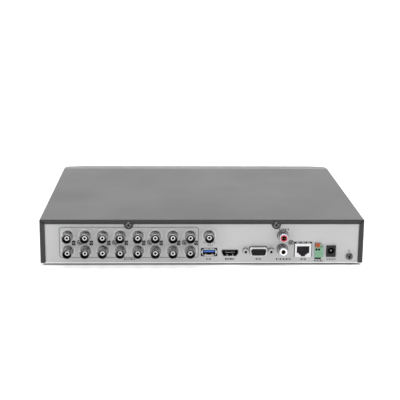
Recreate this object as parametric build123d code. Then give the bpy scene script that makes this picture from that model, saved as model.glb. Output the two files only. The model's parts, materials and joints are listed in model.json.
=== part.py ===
"""A 16-channel desktop video recorder (DVR): folded steel case, moulded front bezel, the rear row of
connectors, and what the case holds: main board, hard drive, fan, heat sink and internal leads.

Frame: millimetres, +Z up, the front bezel faces -Y and the connector panel faces +Y.
Origin: bottom centre of the overall box, on the plane that the four feet stand on.
Heights in the functions are measured from a datum inside the case's lower edge. save() sets every
finished piece LIFT higher, which brings the feet to Z = 0.
"""
from build123d import *
import os
from math import cos, radians, sin

# ---------------------------------------------------------------- driving dimensions
WIDTH = 315.0            # outside width of the cover, X
DEPTH = 242.0            # rear flange face to bezel front, Y
HEIGHT = 45.0            # datum to top, Z
BNC_REACH = 12.0         # jack tips beyond the rear flange face
BEZEL_DEPTH = 16.0       # moulded front, ahead of the cover
COVER_T = 0.8            # cover sheet
TRAY_T = 1.0             # chassis sheet
CASE_LOW = 0.3           # underside of the chassis
COVER_LOW = 1.4          # lower edge of the cover
FOOT_H = 1.2             # rubber showing below the chassis
LIFT = FOOT_H - CASE_LOW
GAP = 0.05               # air between parts that only touch
BEND = 1.2               # outside radius of the folded sheet edges

FLANGE_TOP = 4.5         # rear flange of the cover, below the top
FLANGE_SIDE = 5.0        # rear flange of the cover, in from each side
TAB_X = 71.6             # screw tabs on the rear flange
TAB_Z = 39.8
TAB_R = 4.3

BOARD_T = 1.6
BOARD_TOP = 7.2          # upper face of the main board

BNC_PITCH_X = 16.94
BNC_FIRST_X = 130.4      # column of channels 1 and 2
BNC_ROWS = (28.95, 13.75)
BNC_OUT = (-6.3, 29.3)
COLUMNS = 8
RCA_X = -78.2
RCA_ROWS = (29.0, 15.1)
USB = (-6.5, 12.1)
HDMI = (-27.0, 11.2)
VGA = (-54.5, 13.6)
VGA_SCREW_SPACING = 24.99
LAN_X = -98.4
TERMINAL_X = -112.9
DC = (-126.0, 13.2)
GROUND = (-144.2, 7.6)

# ---------------------------------------------------------------- places worked out from them
Y_REAR = (DEPTH - BNC_REACH) / 2
Y_FRONT = Y_REAR - DEPTH
Y_SEAM = Y_FRONT + BEZEL_DEPTH
Y_TIP = Y_REAR + BNC_REACH
Y_PANEL = Y_REAR - COVER_T - GAP         # outer face of the rear panel
Y_INNER = Y_PANEL - TRAY_T               # inner face of the rear panel
Z_FLOOR = CASE_LOW + TRAY_T              # inner face of the chassis floor
Z_ROOF = HEIGHT - COVER_T                # inner face of the cover
X_SIDE = WIDTH / 2
X_TRAY = X_SIDE - COVER_T - GAP          # outer face of the tray's side walls
Y_TRAY_FRONT = Y_SEAM + 0.3              # outer face of the tray's front wall

VENT_SIZE = (3.0, 16.0)                  # slot width along Y, height along Z
VENT_PITCH = 6.0
FAN_Y = -55.0
FAN_Z = 23.0
INTAKE_Y = 20.0
SIDE_SCREWS = [(y, 12.0) for y in (-95.0, 70.0)]

HDD_SIZE = (147.0, 101.6, 26.1)
HDD_X0 = -146.0
HDD_Y0 = -107.0
HDD_Z0 = 3.5
SPINDLE = (HDD_X0 + 52.0, HDD_Y0 + 50.8)
PIVOT = (HDD_X0 + 112.0, HDD_Y0 + 76.0)

BNC_COLUMNS = [BNC_FIRST_X - BNC_PITCH_X * i for i in range(COLUMNS)]
BNC_PLACES = [(x, z) for x in BNC_COLUMNS for z in BNC_ROWS] + [BNC_OUT]
BLOCK_SCREWS = [(BNC_COLUMNS[i] + 5.7, 21.9) for i in range(1, COLUMNS, 2)]
RCA_SCREW = (-86.6, 21.6)
FEET = [(x, y) for x in (-135.0, 135.0) for y in (-88.0, 92.0)]
BOARD_SCREWS = [(x, y) for x in (-146.0, -20.0, 146.0) for y in (22.0, 88.0)]


# ---------------------------------------------------------------- helpers
def block(x0, x1, y0, y1, z0, z1):
    """A box between two corners."""
    middle = Pos((x0 + x1) / 2, (y0 + y1) / 2, (z0 + z1) / 2)
    return middle * Box(abs(x1 - x0), abs(y1 - y0), abs(z1 - z0))


def rod_x(y, z, r, x0, x1):
    return Pos((x0 + x1) / 2, y, z) * Rot(0, 90, 0) * Cylinder(r, abs(x1 - x0))


def rod_y(x, z, r, y0, y1):
    return Pos(x, (y0 + y1) / 2, z) * Rot(90, 0, 0) * Cylinder(r, abs(y1 - y0))


def rod_z(x, y, r, z0, z1):
    return Pos(x, y, (z0 + z1) / 2) * Cylinder(r, abs(z1 - z0))


def slab(sketch, y0, y1):
    """An XZ sketch as a plate from y0 to y1."""
    return extrude(Plane.XZ.offset(-y1) * sketch, amount=y1 - y0)


def outline(points):
    return make_face(Polyline(*points, close=True))


def rounded(width, height, r):
    return RectangleRounded(width, height, r)


def save(name, *solids):
    """Writes one node: one solid, or a group of separate identical ones."""
    flat = [Pos(0, 0, LIFT) * s for shape in solids for s in shape.solids()]
    export_step(flat[0] if len(flat) == 1 else Compound(flat), f"parts/{name}.step")


def cross_recess(length=3.4, width=0.8, depth=1.2):
    """A cross slot below z = 0."""
    bar = Pos(0, 0, -depth / 2) * Box(length, width, depth)
    return bar + Rot(0, 0, 90) * bar


def pan_screw(head_r, head_h, shank_r, shank_l, recess=3.4):
    """Head above z = 0, shank below."""
    head = Pos(0, 0, head_h / 2) * Cylinder(head_r, head_h)
    head = fillet(head.edges().group_by(Axis.Z)[-1], min(head_h * 0.7, head_r * 0.4))
    head -= Pos(0, 0, head_h) * cross_recess(recess, recess * 0.24, head_h * 0.6)
    return head + Pos(0, 0, -shank_l / 2) * Cylinder(shank_r, shank_l)


FACING_REAR = Rot(-90, 0, 0)    # turns +Z to +Y


def d_shape(width, height, r, lean=10.0):
    """The D outline of a VGA shell, wide side up."""
    inset = height * sin(radians(lean)) / cos(radians(lean))
    w, h = width / 2, height / 2
    face = outline([(-w, h), (w, h), (w - inset, -h), (-w + inset, -h)])
    return fillet(face.vertices(), r)


# ---------------------------------------------------------------- cover
def vent_row(y_middle, count, x0, x1):
    """Rounded slots through a side wall."""
    slots = []
    for i in range(count):
        y = y_middle + (i - (count - 1) / 2) * VENT_PITCH
        width, height = VENT_SIZE
        z_half = height / 2 - 1.5
        slot = block(x0, x1, y - width / 2, y + width / 2, FAN_Z - z_half, FAN_Z + z_half)
        for z in (FAN_Z - height / 2 + 1.5, FAN_Z + height / 2 - 1.5):
            slot += rod_x(y, z, width / 2, x0, x1)
        slots.append(slot)
    return slots


def side_openings():
    """Slots and screw holes that the cover and the tray share, as (sign, tools)."""
    found = []
    for sign in (1, -1):
        x0, x1 = sign * (X_SIDE - 4.0), sign * (X_SIDE + 1.0)
        found += vent_row(FAN_Y, 6, x0, x1) + vent_row(INTAKE_Y, 9, x0, x1)
    return found


def top_cover():
    outer = Pos(0, (Y_REAR + Y_SEAM) / 2, (HEIGHT + COVER_LOW) / 2)
    body = outer * Box(WIDTH, Y_REAR - Y_SEAM, HEIGHT - COVER_LOW)
    top_edges = body.edges().filter_by(Axis.Y).group_by(Axis.Z)[-1]
    rear_edges = body.faces().sort_by(Axis.Y)[-1].edges().sort_by(Axis.Z)[1:]
    body = fillet(list(top_edges) + list(rear_edges), BEND)
    x_in = X_SIDE - COVER_T
    hollow = block(-x_in, x_in, Y_SEAM - 1, Y_REAR - COVER_T, COVER_LOW - 1, Z_ROOF)
    hollow = fillet(hollow.edges().filter_by(Axis.Y).group_by(Axis.Z)[-1], BEND - COVER_T)
    body -= hollow
    x_open, z_open = X_SIDE - FLANGE_SIDE, HEIGHT - FLANGE_TOP
    opening = Pos(0, z_open / 2 - 5) * Rectangle(2 * x_open, z_open + 10)
    tabs = Pos(-TAB_X, TAB_Z) * Circle(TAB_R) + Pos(TAB_X, TAB_Z) * Circle(TAB_R)
    opening -= tabs
    roots = [v for v in opening.vertices() if abs(v.Y - z_open) < 0.01 and abs(abs(v.X) - TAB_X) < TAB_R]
    opening = fillet(roots, 1.4)
    body -= slab(opening, Y_REAR - COVER_T - 1, Y_REAR + 1)
    for sign in (1, -1):
        mitre = Pos(sign * X_SIDE, Y_REAR - 0.6, HEIGHT) * Rot(0, sign * 48.0, 0)
        body -= mitre * Box(0.5, 1.6, 15.0)
        body -= rod_y(sign * TAB_X, TAB_Z, 1.7, Y_REAR - 2, Y_REAR + 1)
        for y, z in SIDE_SCREWS:
            body -= rod_x(y, z, 1.7, sign * (X_SIDE - 2), sign * (X_SIDE + 1))
    for tool in side_openings():
        body -= tool
    # the lower ends of the rear side flanges are rounded
    for sign in (1, -1):
        ends = [
            e for e in body.edges().filter_by(Axis.Y)
            if abs(e.center().Z - COVER_LOW) < 0.05 and abs(e.center().X - sign * x_open) < 0.05
        ]
        body = fillet(ends, 1.0)
    return body


# ---------------------------------------------------------------- chassis tray
def rear_cutouts():
    y0, y1 = Y_INNER - 0.5, Y_PANEL + 0.5
    tools = [rod_y(x, z, 6.5, y0, y1) for x, z in BNC_PLACES]
    tools += [rod_y(RCA_X, z, 5.2, y0, y1) for z in RCA_ROWS]
    tools += [rod_y(x, z, 1.3, y0, y1) for x, z in BLOCK_SCREWS + [RCA_SCREW]]
    tools += [rod_y(sign * TAB_X, TAB_Z, 1.5, y0, y1) for sign in (1, -1)]
    tools.append(rod_y(*GROUND, 2.0, y0, y1))
    tools.append(slab(Pos(*USB) * rounded(15.9, 8.2, 0.8), y0, y1))
    hdmi_hole = outline([(-8.1, 3.1), (8.1, 3.1), (8.1, 0.2), (5.4, -3.1), (-5.4, -3.1), (-8.1, 0.2)])
    tools.append(slab(Pos(*HDMI) * hdmi_hole, y0, y1))
    tools.append(slab(Pos(*VGA) * d_shape(17.2, 8.8, 2.8), y0, y1))
    for sign in (1, -1):
        tools.append(rod_y(VGA[0] + sign * VGA_SCREW_SPACING / 2, VGA[1], 1.7, y0, y1))
    tools.append(block(LAN_X - 8.5, LAN_X + 8.5, y0, y1, 7.0, 22.5))
    tools.append(block(TERMINAL_X - 5.5, TERMINAL_X + 3.3, y0, y1, 7.0, TERM_STEP_Z + 0.3))
    tools.append(block(TERM_STEP_X - 0.3, TERMINAL_X + 3.3, y0, y1, 7.0, 21.6))
    tools.append(block(DC[0] - 4.8, DC[0] + 4.8, y0, y1, 7.2, 18.8))
    return tools


def chassis_tray():
    y0, y1 = Y_TRAY_FRONT, Y_PANEL
    z_top = Z_ROOF - 0.3
    body = block(-X_TRAY, X_TRAY, y0, y1, CASE_LOW, z_top)
    low_edges = body.faces().sort_by(Axis.Z)[0].edges()
    body = fillet(low_edges, 1.4)
    inner = block(-X_TRAY + TRAY_T, X_TRAY - TRAY_T, y0 + TRAY_T, y1 - TRAY_T, Z_FLOOR, z_top + 5)
    body -= fillet(inner.faces().sort_by(Axis.Z)[0].edges(), 0.4)
    # corner reliefs where the sheet is folded
    for sx in (1, -1):
        for y_corner in (y0, y1):
            x = sx * X_TRAY
            body -= block(x - sx * 2.2, x + sx, y_corner - 2.2, y_corner + 2.2, Z_FLOOR + 3, z_top + 1)
    for tool in rear_cutouts() + side_openings():
        body -= tool
    for sign in (1, -1):
        for y, z in SIDE_SCREWS:
            body -= rod_x(y, z, 1.5, sign * (X_SIDE - 3), sign * (X_SIDE + 1))
    body -= rod_x(FAN_Y, FAN_Z, 18.5, X_SIDE - 4, X_SIDE)
    # pressed bosses carry the hard drive and the main board
    for places, top, boss_r, hole_r in (
        (hdd_screw_places(), HDD_Z0, 5.0, 1.7),
        (BOARD_SCREWS, BOARD_TOP - BOARD_T, 3.2, 1.35),
    ):
        for x, y in places:
            body += rod_z(x, y, boss_r, Z_FLOOR - 0.5, top - 0.02)
            body -= rod_z(x, y, hole_r, 0, top + 1)
    # rows of cooling slots in the floor, under the board
    for i in range(12):
        x = -60.0 + i * 10.0
        body -= block(x - 1.5, x + 1.5, 30, 62, 0, Z_FLOOR + 1)
    # openings in the front wall: the front board's lead and two bezel clips
    wall = (y0 - 1, y0 + TRAY_T + 1)
    body -= block(FRONT_LEAD_X - 9, FRONT_LEAD_X + 9, *wall, 6, 18)
    for x in (-50.0, 50.0):
        body -= block(x - 6, x + 6, *wall, 36, 39)
    return body


def hdd_screw_places():
    return [(HDD_X0 + dx, HDD_Y0 + dy) for dx in (29.0, 129.0) for dy in (3.2, 98.4)]


# ---------------------------------------------------------------- front bezel
FRONT_LEAD_X = 62.0
FRONT_BOARD_Y = Y_FRONT + 13.2
FRONT_USB_X = 122.0
FRONT_USB_Z = 16.0
WINDOW = (-106.0, 27.0, 62.0, 11.0)      # middle X, middle Z, width, height
LED_X = [WINDOW[0] - 20 + 9.0 * i for i in range(3)]
IR_X = WINDOW[0] + 20.0
BEZEL_WALL = 2.2
SHOULDER_X = 135.0       # where the bezel front starts to sweep back
SWEEP = 4.0              # how far it has swept back at the sides


def bezel_plan(inset, y_back):
    """Plan of the bezel: straight sides, rounded corners, a shallow sweep to the flat front."""
    x, y = X_SIDE - inset, Y_FRONT + inset
    points = [(-x, y_back), (-x, y + SWEEP), (-SHOULDER_X, y), (SHOULDER_X, y), (x, y + SWEEP), (x, y_back)]
    face = outline(points)
    corners = [v for v in face.vertices() if abs(v.Y - y - SWEEP) < 0.01]
    face = fillet(corners, 7.0 - inset)
    shoulders = [v for v in face.vertices() if abs(v.Y - y) < 0.01 and abs(abs(v.X) - SHOULDER_X) < 0.5]
    return fillet(shoulders, 60.0)


def front_bezel():
    z0 = CASE_LOW + 0.5
    body = extrude(Plane.XY.offset(z0) * bezel_plan(0, Y_SEAM), amount=HEIGHT - z0)
    ahead = body.edges().filter_by(lambda e: e.center().Y < Y_SEAM - 0.5).sort_by(Axis.Z)
    rims = [e for e in ahead if abs(e.center().Z - HEIGHT) < 0.01 or abs(e.center().Z - z0) < 0.01]
    body = fillet(rims, 1.5)
    hollow = extrude(Plane.XY.offset(z0 + BEZEL_WALL) * bezel_plan(BEZEL_WALL, Y_SEAM + 1),
                     amount=HEIGHT - z0 - 2 * BEZEL_WALL)
    body -= hollow
    # shallow step along the lower third of the front, and a shadow line above it
    body -= block(-150, 150, Y_FRONT - 1, Y_FRONT + 0.5, 12.4, 13.0)
    body -= block(-150, 150, Y_FRONT - 1, Y_FRONT + 0.5, 36.0, 36.5)
    wx, wz, ww, wh = WINDOW
    body -= slab(Pos(wx, wz) * rounded(ww, wh, 2.0), Y_FRONT - 1, Y_FRONT + 1.2)
    body -= slab(Pos(wx, wz) * rounded(ww - 3, wh - 3, 1.5), Y_FRONT - 1, Y_FRONT + 3)
    body -= slab(Pos(FRONT_USB_X, FRONT_USB_Z) * rounded(15.0, 7.4, 0.8), Y_FRONT - 1, Y_FRONT + 4)
    # two snap clips on the roof of the bezel reach through the tray's front wall
    for x in (-50.0, 50.0):
        body += block(x - 4, x + 4, Y_SEAM - 3, Y_TRAY_FRONT + TRAY_T + 1.2, 36.4, 37.6)
        body += block(x - 4, x + 4, Y_SEAM - 3, Y_SEAM - 1, 37.6, HEIGHT - BEZEL_WALL)
    return body


def front_window():
    wx, wz, ww, wh = WINDOW
    pane = slab(Pos(wx, wz) * rounded(ww - 0.2, wh - 0.2, 1.9), Y_FRONT + 0.15, Y_FRONT + 1.15)
    for x in LED_X:
        pane -= rod_y(x, wz, 0.95, Y_FRONT, Y_FRONT + 2)
    return pane


def front_parts():
    """The board behind the bezel with its soldered indicators, receiver and USB socket."""
    wz = WINDOW[1]
    y = FRONT_BOARD_Y
    board = block(-140, 134, y, y + BOARD_T, 7.0, 22.0) + block(-140, -72, y, y + BOARD_T, 20.0, 34.5)
    for x in LED_X:
        board += block(x - 1.5, x + 1.5, y - 1.4, y, wz - 1.2, wz + 1.2)
    pipes = [rod_y(x, wz, 0.9, Y_FRONT + 0.2, y - 1.45) for x in LED_X]
    receiver = block(IR_X - 2.8, IR_X + 2.8, y - 3.2, y - GAP, wz - 3.4, wz + 3.4)
    receiver += rod_y(IR_X, wz, 2.2, y - 4.6, y - 3.2)
    save("front_board", board)
    save("front_light_pipes", *pipes)
    save("front_ir_receiver", receiver)
    x, z = FRONT_USB_X, FRONT_USB_Z
    y_face = Y_FRONT + 0.6
    shell = slab(Pos(x, z) * rounded(13.1, 5.8, 0.5), y_face, y - GAP)
    shell -= slab(Pos(x, z) * rounded(12.4, 5.1, 0.3), y_face - 1, y - 0.5)
    tongue = block(x - 5.6, x + 5.6, y_face + 0.8, y - 0.55, z + 0.1, z + 1.9)
    save("front_usb_shell", shell)
    save("front_usb_tongue", tongue)


# ---------------------------------------------------------------- BNC jacks
BNC_BARREL_R = 5.0
BNC_NOSE_R = 4.80
BNC_DEEP = 3.4           # insulator face behind the tip
BNC_BORE_R = 4.05
BNC_SHOULDER_R = 5.95
LUG_BACK = 5.2           # lug axis behind the tip


def bnc_jack(x, z):
    """Nickel body: shoulder through the panel, collar, barrel with two bayonet lugs, open bore."""
    jack = rod_y(x, z, BNC_SHOULDER_R, Y_INNER - 8.0, Y_REAR + 0.9)
    jack += rod_y(x, z, 5.5, Y_REAR, Y_REAR + 2.2)
    jack += rod_y(x, z, BNC_BARREL_R, Y_REAR, Y_TIP - 4.0)
    jack += rod_y(x, z, BNC_NOSE_R, Y_TIP - 4.0, Y_TIP)
    jack += rod_x(Y_TIP - LUG_BACK, z, 1.0, x - 5.5, x + 5.5)
    tip = [e for e in jack.edges().filter_by(GeomType.CIRCLE)
           if abs(e.center().Y - Y_TIP) < 0.01]
    jack = fillet(tip, 0.25)
    jack -= rod_y(x, z, BNC_BORE_R, Y_TIP - 9.5, Y_TIP + 1)
    jack -= rod_y(x, z, 2.0, Y_INNER - 9, Y_TIP)
    return jack


def bnc_insulator(x, z):
    base = rod_y(x, z, BNC_BORE_R - GAP, Y_TIP - 9.45, Y_TIP - 8.2)
    nose = rod_y(x, z, 2.4, Y_TIP - 8.2, Y_TIP - BNC_DEEP)
    return base + nose - rod_y(x, z, 1.12, Y_TIP - 10, Y_TIP + 1)


def bnc_contact(x, z):
    pin = rod_y(x, z, 1.08, Y_INNER - 10, Y_TIP - BNC_DEEP - 0.4)
    return pin - rod_y(x, z, 0.72, Y_TIP - 7, Y_TIP)


def bnc_blocks():
    """Moulded blocks behind the panel: four of two by two jacks, and a single one."""
    y0, y1 = Y_INNER - 14.0, Y_INNER - GAP
    blocks = []
    for i in range(0, COLUMNS, 2):
        a, b = BNC_COLUMNS[i], BNC_COLUMNS[i + 1]
        body = block(b - 8.2, a + 8.2, y0, y1, BOARD_TOP, BNC_ROWS[0] + 7.6)
        blocks.append((body, [(x, z) for x in (a, b) for z in BNC_ROWS]))
    x, z = BNC_OUT
    blocks.append((block(x - 7.6, x + 7.6, y0, y1, 17.2, z + 7.4), [BNC_OUT]))
    made = []
    for body, places in blocks:
        for x, z in places:
            body -= rod_y(x, z, BNC_SHOULDER_R + GAP, Y_INNER - 8.05, y1 + 1)
            body -= rod_y(x, z, 1.2, y0 - 1, y1)
        for x, z in BLOCK_SCREWS:
            body -= rod_y(x, z, 1.3, Y_INNER - 7, y1 + 1)
        made.append(body)
    # the single jack stands over the USB socket on two legs
    x, _ = BNC_OUT
    for sign in (1, -1):
        side = x + sign * 8.0
        made[-1] += block(side - 0.8, side + 0.8, y0, y0 + 5, BOARD_TOP, 30.0)
        made[-1] += block(side - sign * 1.2, side, y0, y0 + 5, 17.2, 30.0)
    return made


def small_screws(places):
    screw = pan_screw(2.3, 1.3, 1.2, 6.0, recess=2.6)
    return [Pos(x, Y_PANEL + 0.02, z) * FACING_REAR * Rot(0, 0, 35) * screw for x, z in places]


# ---------------------------------------------------------------- RCA jacks
RCA_REACH = 10.0
RCA_SHELL_R = 4.15


def rca_jacks():
    y0, y1 = Y_INNER - 12.0, Y_INNER - GAP
    tip = Y_REAR + RCA_REACH
    holder = block(RCA_X - 6.4, RCA_X + 6.4, y0, y1, BOARD_TOP, RCA_ROWS[0] + 6.8)
    holder += block(RCA_SCREW[0] - 3.0, RCA_X - 6.0, y1 - 6, y1, RCA_SCREW[1] - 4, RCA_SCREW[1] + 4)
    holder -= rod_y(*RCA_SCREW, 1.3, Y_INNER - 7, y1 + 1)
    shells, contacts, insulators = [], [], []
    for z in RCA_ROWS:
        holder += rod_y(RCA_X, z, 5.0, y1 - 1, Y_PANEL + 0.5)
        holder -= rod_y(RCA_X, z, RCA_SHELL_R - GAP, y1 - 6, Y_REAR + 1)
        shell = rod_y(RCA_X, z, RCA_SHELL_R, Y_PANEL + 1.0, tip)
        shell += rod_y(RCA_X, z, RCA_SHELL_R - 0.1, y1 - 5.9, Y_PANEL + 1.0)
        shell += rod_y(RCA_X, z, 5.15, Y_PANEL + 0.55, Y_PANEL + 1.7)
        shell = fillet([e for e in shell.edges().filter_by(GeomType.CIRCLE)
                        if abs(e.center().Y - tip) < 0.01], 0.35)
        shell -= rod_y(RCA_X, z, 3.0, y1 - 7, tip + 1)
        shells.append(shell)
        plug = rod_y(RCA_X, z, 2.95, y1 - 5.8, tip - 0.3) - rod_y(RCA_X, z, 1.62, y1 - 3.0, tip + 1)
        insulators.append(plug)
        cup = rod_y(RCA_X, z, 1.58, y1 - 2.9, tip - 3.0) - rod_y(RCA_X, z, 1.25, y1 - 2.4, tip)
        contacts.append(cup)
    save("rca_holder", holder)
    save("rca_shells", *shells)
    save("rca_insulators", *insulators)
    save("rca_contacts", *contacts)


# ---------------------------------------------------------------- USB, HDMI
def flared_lip(length, thickness, reach, turn):
    """A lip folded out at 45 degrees from one side of a socket's mouth, along local X, opening to +Y."""
    profile = outline([(0, 0), (reach, reach), (reach - thickness, reach), (0, thickness * 1.4)])
    lip = extrude(Plane.YZ.offset(-length / 2) * profile, amount=length)
    return Rot(0, turn, 0) * lip


def rear_usb():
    x, z = USB
    y_face = Y_REAR - 0.2
    depth = 17.0
    body = slab(Pos(x, z) * rounded(13.1, 5.9, 0.5), y_face - depth, y_face)
    body -= slab(Pos(x, z) * rounded(12.4, 5.2, 0.3), y_face - depth + 0.5, y_face + 1)
    for turn, half, length in ((0, 2.6, 10.8), (180, 2.6, 9.6), (90, 6.2, 3.8), (-90, 6.2, 3.8)):
        lip = flared_lip(length, 0.35, 1.1, turn)
        dx = half * sin(radians(turn))
        dz = half * cos(radians(turn))
        body += Pos(x + dx, y_face - 0.25, z + dz) * lip
    tongue = block(x - 5.4, x + 5.4, y_face - depth + 0.55, y_face - 0.6, z + 0.1, z + 1.94)
    for sign in (1, -1):
        foot = x + sign * 6.2
        body += block(foot - 0.35, foot + 0.35, y_face - 14, y_face - 6, BOARD_TOP, z - 2.5)
    save("usb_shell", body)
    save("usb_tongue", tongue)


def hdmi_outline(grow):
    w, h = 7.0 + grow, 2.275 + grow
    points = [(-w, h), (w, h), (w, -0.35), (w - 2.0, -h), (-w + 2.0, -h), (-w, -0.35)]
    return Pos(*HDMI) * fillet(outline(points).vertices(), 0.35)


def rear_hdmi():
    x, z = HDMI
    y_face = Y_REAR - 0.1
    depth = 12.0
    shell = slab(hdmi_outline(0.35), y_face - depth, y_face)
    mouth = slab(hdmi_outline(0.85), y_face - 0.35, y_face)
    shell += mouth
    shell -= slab(hdmi_outline(0), y_face - depth + 0.5, y_face + 1)
    tongue = block(x - 5.9, x + 5.9, y_face - depth + 0.55, y_face - 0.9, z - 0.1, z + 1.0)
    for dx in (-2.6, 2.6):
        shell += block(x + dx - 0.9, x + dx + 0.9, y_face - 6, y_face - 0.6, z - 2.5, z - 1.8)
    for sign in (1, -1):
        foot = x + sign * 6.9
        shell += block(foot - 0.4, foot + 0.4, y_face - 10, y_face - 5, BOARD_TOP, z - 0.5)
    save("hdmi_shell", shell)
    save("hdmi_tongue", tongue)


# ---------------------------------------------------------------- VGA
VGA_REACH = 5.9
STANDOFF_REACH = 5.2


def rear_vga():
    x, z = VGA
    face = Pos(x, z)
    y1 = Y_INNER - GAP
    tip = Y_PANEL + VGA_REACH
    flange = slab(face * rounded(30.8, 12.5, 2.0), y1 - 1.0, y1)
    shell = flange + slab(face * d_shape(16.4, 8.0, 2.5), y1 - 1.0, tip)
    shell -= slab(face * d_shape(15.6, 7.2, 2.1), y1 - 2.0, tip + 1)
    insert = slab(face * d_shape(15.5, 7.1, 2.05), y1 - 2.0, tip - 0.35)
    insert += block(x - 12, x + 12, y1 - 9.0, y1 - 1.0 - GAP, BOARD_TOP, z + 6.0)
    for row, dz in enumerate((1.98, 0.0, -1.98)):
        shift = (-0.57, 0.57, -0.57)[row]
        for i in range(5):
            insert -= rod_y(x + (i - 2) * 2.29 + shift, z + dz, 0.55, tip - 5, tip)
    nuts = []
    for sign in (1, -1):
        sx = x + sign * VGA_SCREW_SPACING / 2
        shell -= rod_y(sx, z, 1.7, y1 - 3, y1 + 1)
        insert -= rod_y(sx, z, 1.7, y1 - 12, y1)
        hexagon = Pos(sx, z) * Rot(0, 0, 30) * RegularPolygon(2.75, 6)
        nut = slab(hexagon, Y_PANEL + 0.02, Y_PANEL + STANDOFF_REACH)
        nut += rod_y(sx, z, 1.42, y1 - 4, Y_PANEL + 1)
        nut -= rod_y(sx, z, 1.24, Y_PANEL + 0.4, Y_PANEL + STANDOFF_REACH + 1)
        nut -= Pos(sx, Y_PANEL + STANDOFF_REACH, z) * Rot(-90, 0, 0) * Cone(1.24, 1.75, 0.5)
        nuts.append(nut)
    save("vga_shell", shell)
    save("vga_insert", insert)
    save("vga_jack_screws", *nuts)


# ---------------------------------------------------------------- LAN
LAN_W, LAN_Z0, LAN_Z1 = 16.1, BOARD_TOP, 20.8


def lan_mouth(grow):
    """Plug opening with the latch notch down."""
    w, s, n = 6.1 + grow, 3.7 + grow, 2.2 + grow
    top, mid, low, end = 18.3 + grow, 11.3 - grow, 9.5 - grow, 7.9 - grow
    half = [(w, top), (w, mid), (s + 0.8, mid), (s, low), (n, low), (n, end)]
    points = [(LAN_X + a, b) for a, b in half] + [(LAN_X - a, b) for a, b in reversed(half)]
    return outline(points)


def rear_lan():
    y_face = Y_REAR + 0.25
    y0 = Y_INNER - 14.0
    x0, x1 = LAN_X - LAN_W / 2, LAN_X + LAN_W / 2
    shield = block(x0, x1, y0, y_face, LAN_Z0, LAN_Z1)
    shield -= block(x0 + 0.3, x1 - 0.3, y0 - 1, y_face - 0.3, LAN_Z0 - 1, LAN_Z1 - 0.3)
    shield -= slab(lan_mouth(0.0), y_face - 1, y_face + 1)
    for dx in (-5.2, 0.0, 5.2):
        finger = outline([
            (y_face - 5, LAN_Z1 - 0.1), (y_face - 5, LAN_Z1 + 0.25), (y_face - 2.2, LAN_Z1 + 1.3),
            (y_face - 0.4, LAN_Z1 + 0.9), (y_face - 0.4, LAN_Z1 + 0.55), (y_face - 2.2, LAN_Z1 + 0.95)])
        shield += extrude(Plane.YZ.offset(LAN_X + dx - 1.3) * finger, amount=2.6)
    housing = block(x0 + 0.35, x1 - 0.35, y0, y_face - 0.35, LAN_Z0, LAN_Z1 - 0.35)
    housing -= slab(lan_mouth(0.1), y_face - 13.0, y_face)
    wires = []
    for i in range(8):
        x = LAN_X + (i - 3.5) * 1.02
        path = outline([
            (y_face - 12.9, 17.2), (y_face - 3.0, 18.1), (y_face - 3.0, 18.35), (y_face - 12.9, 17.5)])
        wires.append(extrude(Plane.YZ.offset(x - 0.2) * path, amount=0.4))
    save("lan_shield", shield)
    save("lan_housing", housing)
    save("lan_contacts", *wires)


# ---------------------------------------------------------------- spring terminal
TERM_FACE = Y_REAR + 1.6
TERM_STEP_X = TERMINAL_X - 3.0
TERM_STEP_Z = 18.2
LEVER_X = [TERMINAL_X + 1.55, TERMINAL_X - 0.99]
LEVER_W = 1.7
LEVER_TRAVEL = 1.5
LEVER_TOP = 21.0


def spring_terminal():
    """Green two-way terminal: wire entries in front, orange release buttons above them."""
    x0, x1 = TERMINAL_X - 5.2, TERMINAL_X + 3.0
    y0 = Y_INNER - 12.0
    body = block(x0, x1, y0, TERM_FACE, BOARD_TOP, 17.5)
    body += block(x0, x1, y0, TERM_FACE - 1.0, BOARD_TOP, TERM_STEP_Z)
    body += block(TERM_STEP_X, x1, y0, TERM_FACE - 1.0, BOARD_TOP, LEVER_TOP + 0.1)
    for x in LEVER_X:
        w = LEVER_W / 2 + 0.15
        body -= block(x - w, x + w, Y_INNER - 7.6, TERM_FACE + 1, 17.7, LEVER_TOP + 1)
        body -= rod_y(x, 15.3, 0.85, Y_INNER - 5, TERM_FACE + 1)
    body -= block(x0 - 1, x1 + 1, TERM_FACE - 0.3, TERM_FACE + 1, 11.2, 11.6)
    clamps = []
    for x in LEVER_X:
        clamps.append(block(x - 0.7, x + 0.7, Y_INNER - 5.0 - 0.9, Y_INNER - 5.05, 8.0, 16.0) - block(
            x - 0.4, x + 0.4, Y_INNER - 7, Y_INNER - 5, 13.8, 15.2))
    body -= block(LEVER_X[1] - 0.8, LEVER_X[0] + 0.8, Y_INNER - 6.0, Y_INNER - 5.0, 7.9, 16.05)
    save("terminal_body", body)
    save("terminal_clamps", *clamps)
    for name, x in zip(("terminal_button_a", "terminal_button_b"), LEVER_X):
        w = LEVER_W / 2
        button = block(x - w, x + w, Y_INNER - 5.7, TERM_FACE - 0.3, 17.8, LEVER_TOP)
        button += block(x - w, x + w, TERM_FACE - 1.6, TERM_FACE + 0.5, 17.75, LEVER_TOP)
        edges = [e for e in button.edges().filter_by(Axis.X)
                 if e.center().Y > TERM_FACE + 0.4 and e.center().Z > LEVER_TOP - 0.1]
        save(name, fillet(edges, 0.6))


# ---------------------------------------------------------------- DC socket and ground screw
DC_PIN_R = 1.0
DC_BORE_R = 3.1
DC_FACE = Y_REAR + 0.5


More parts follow.
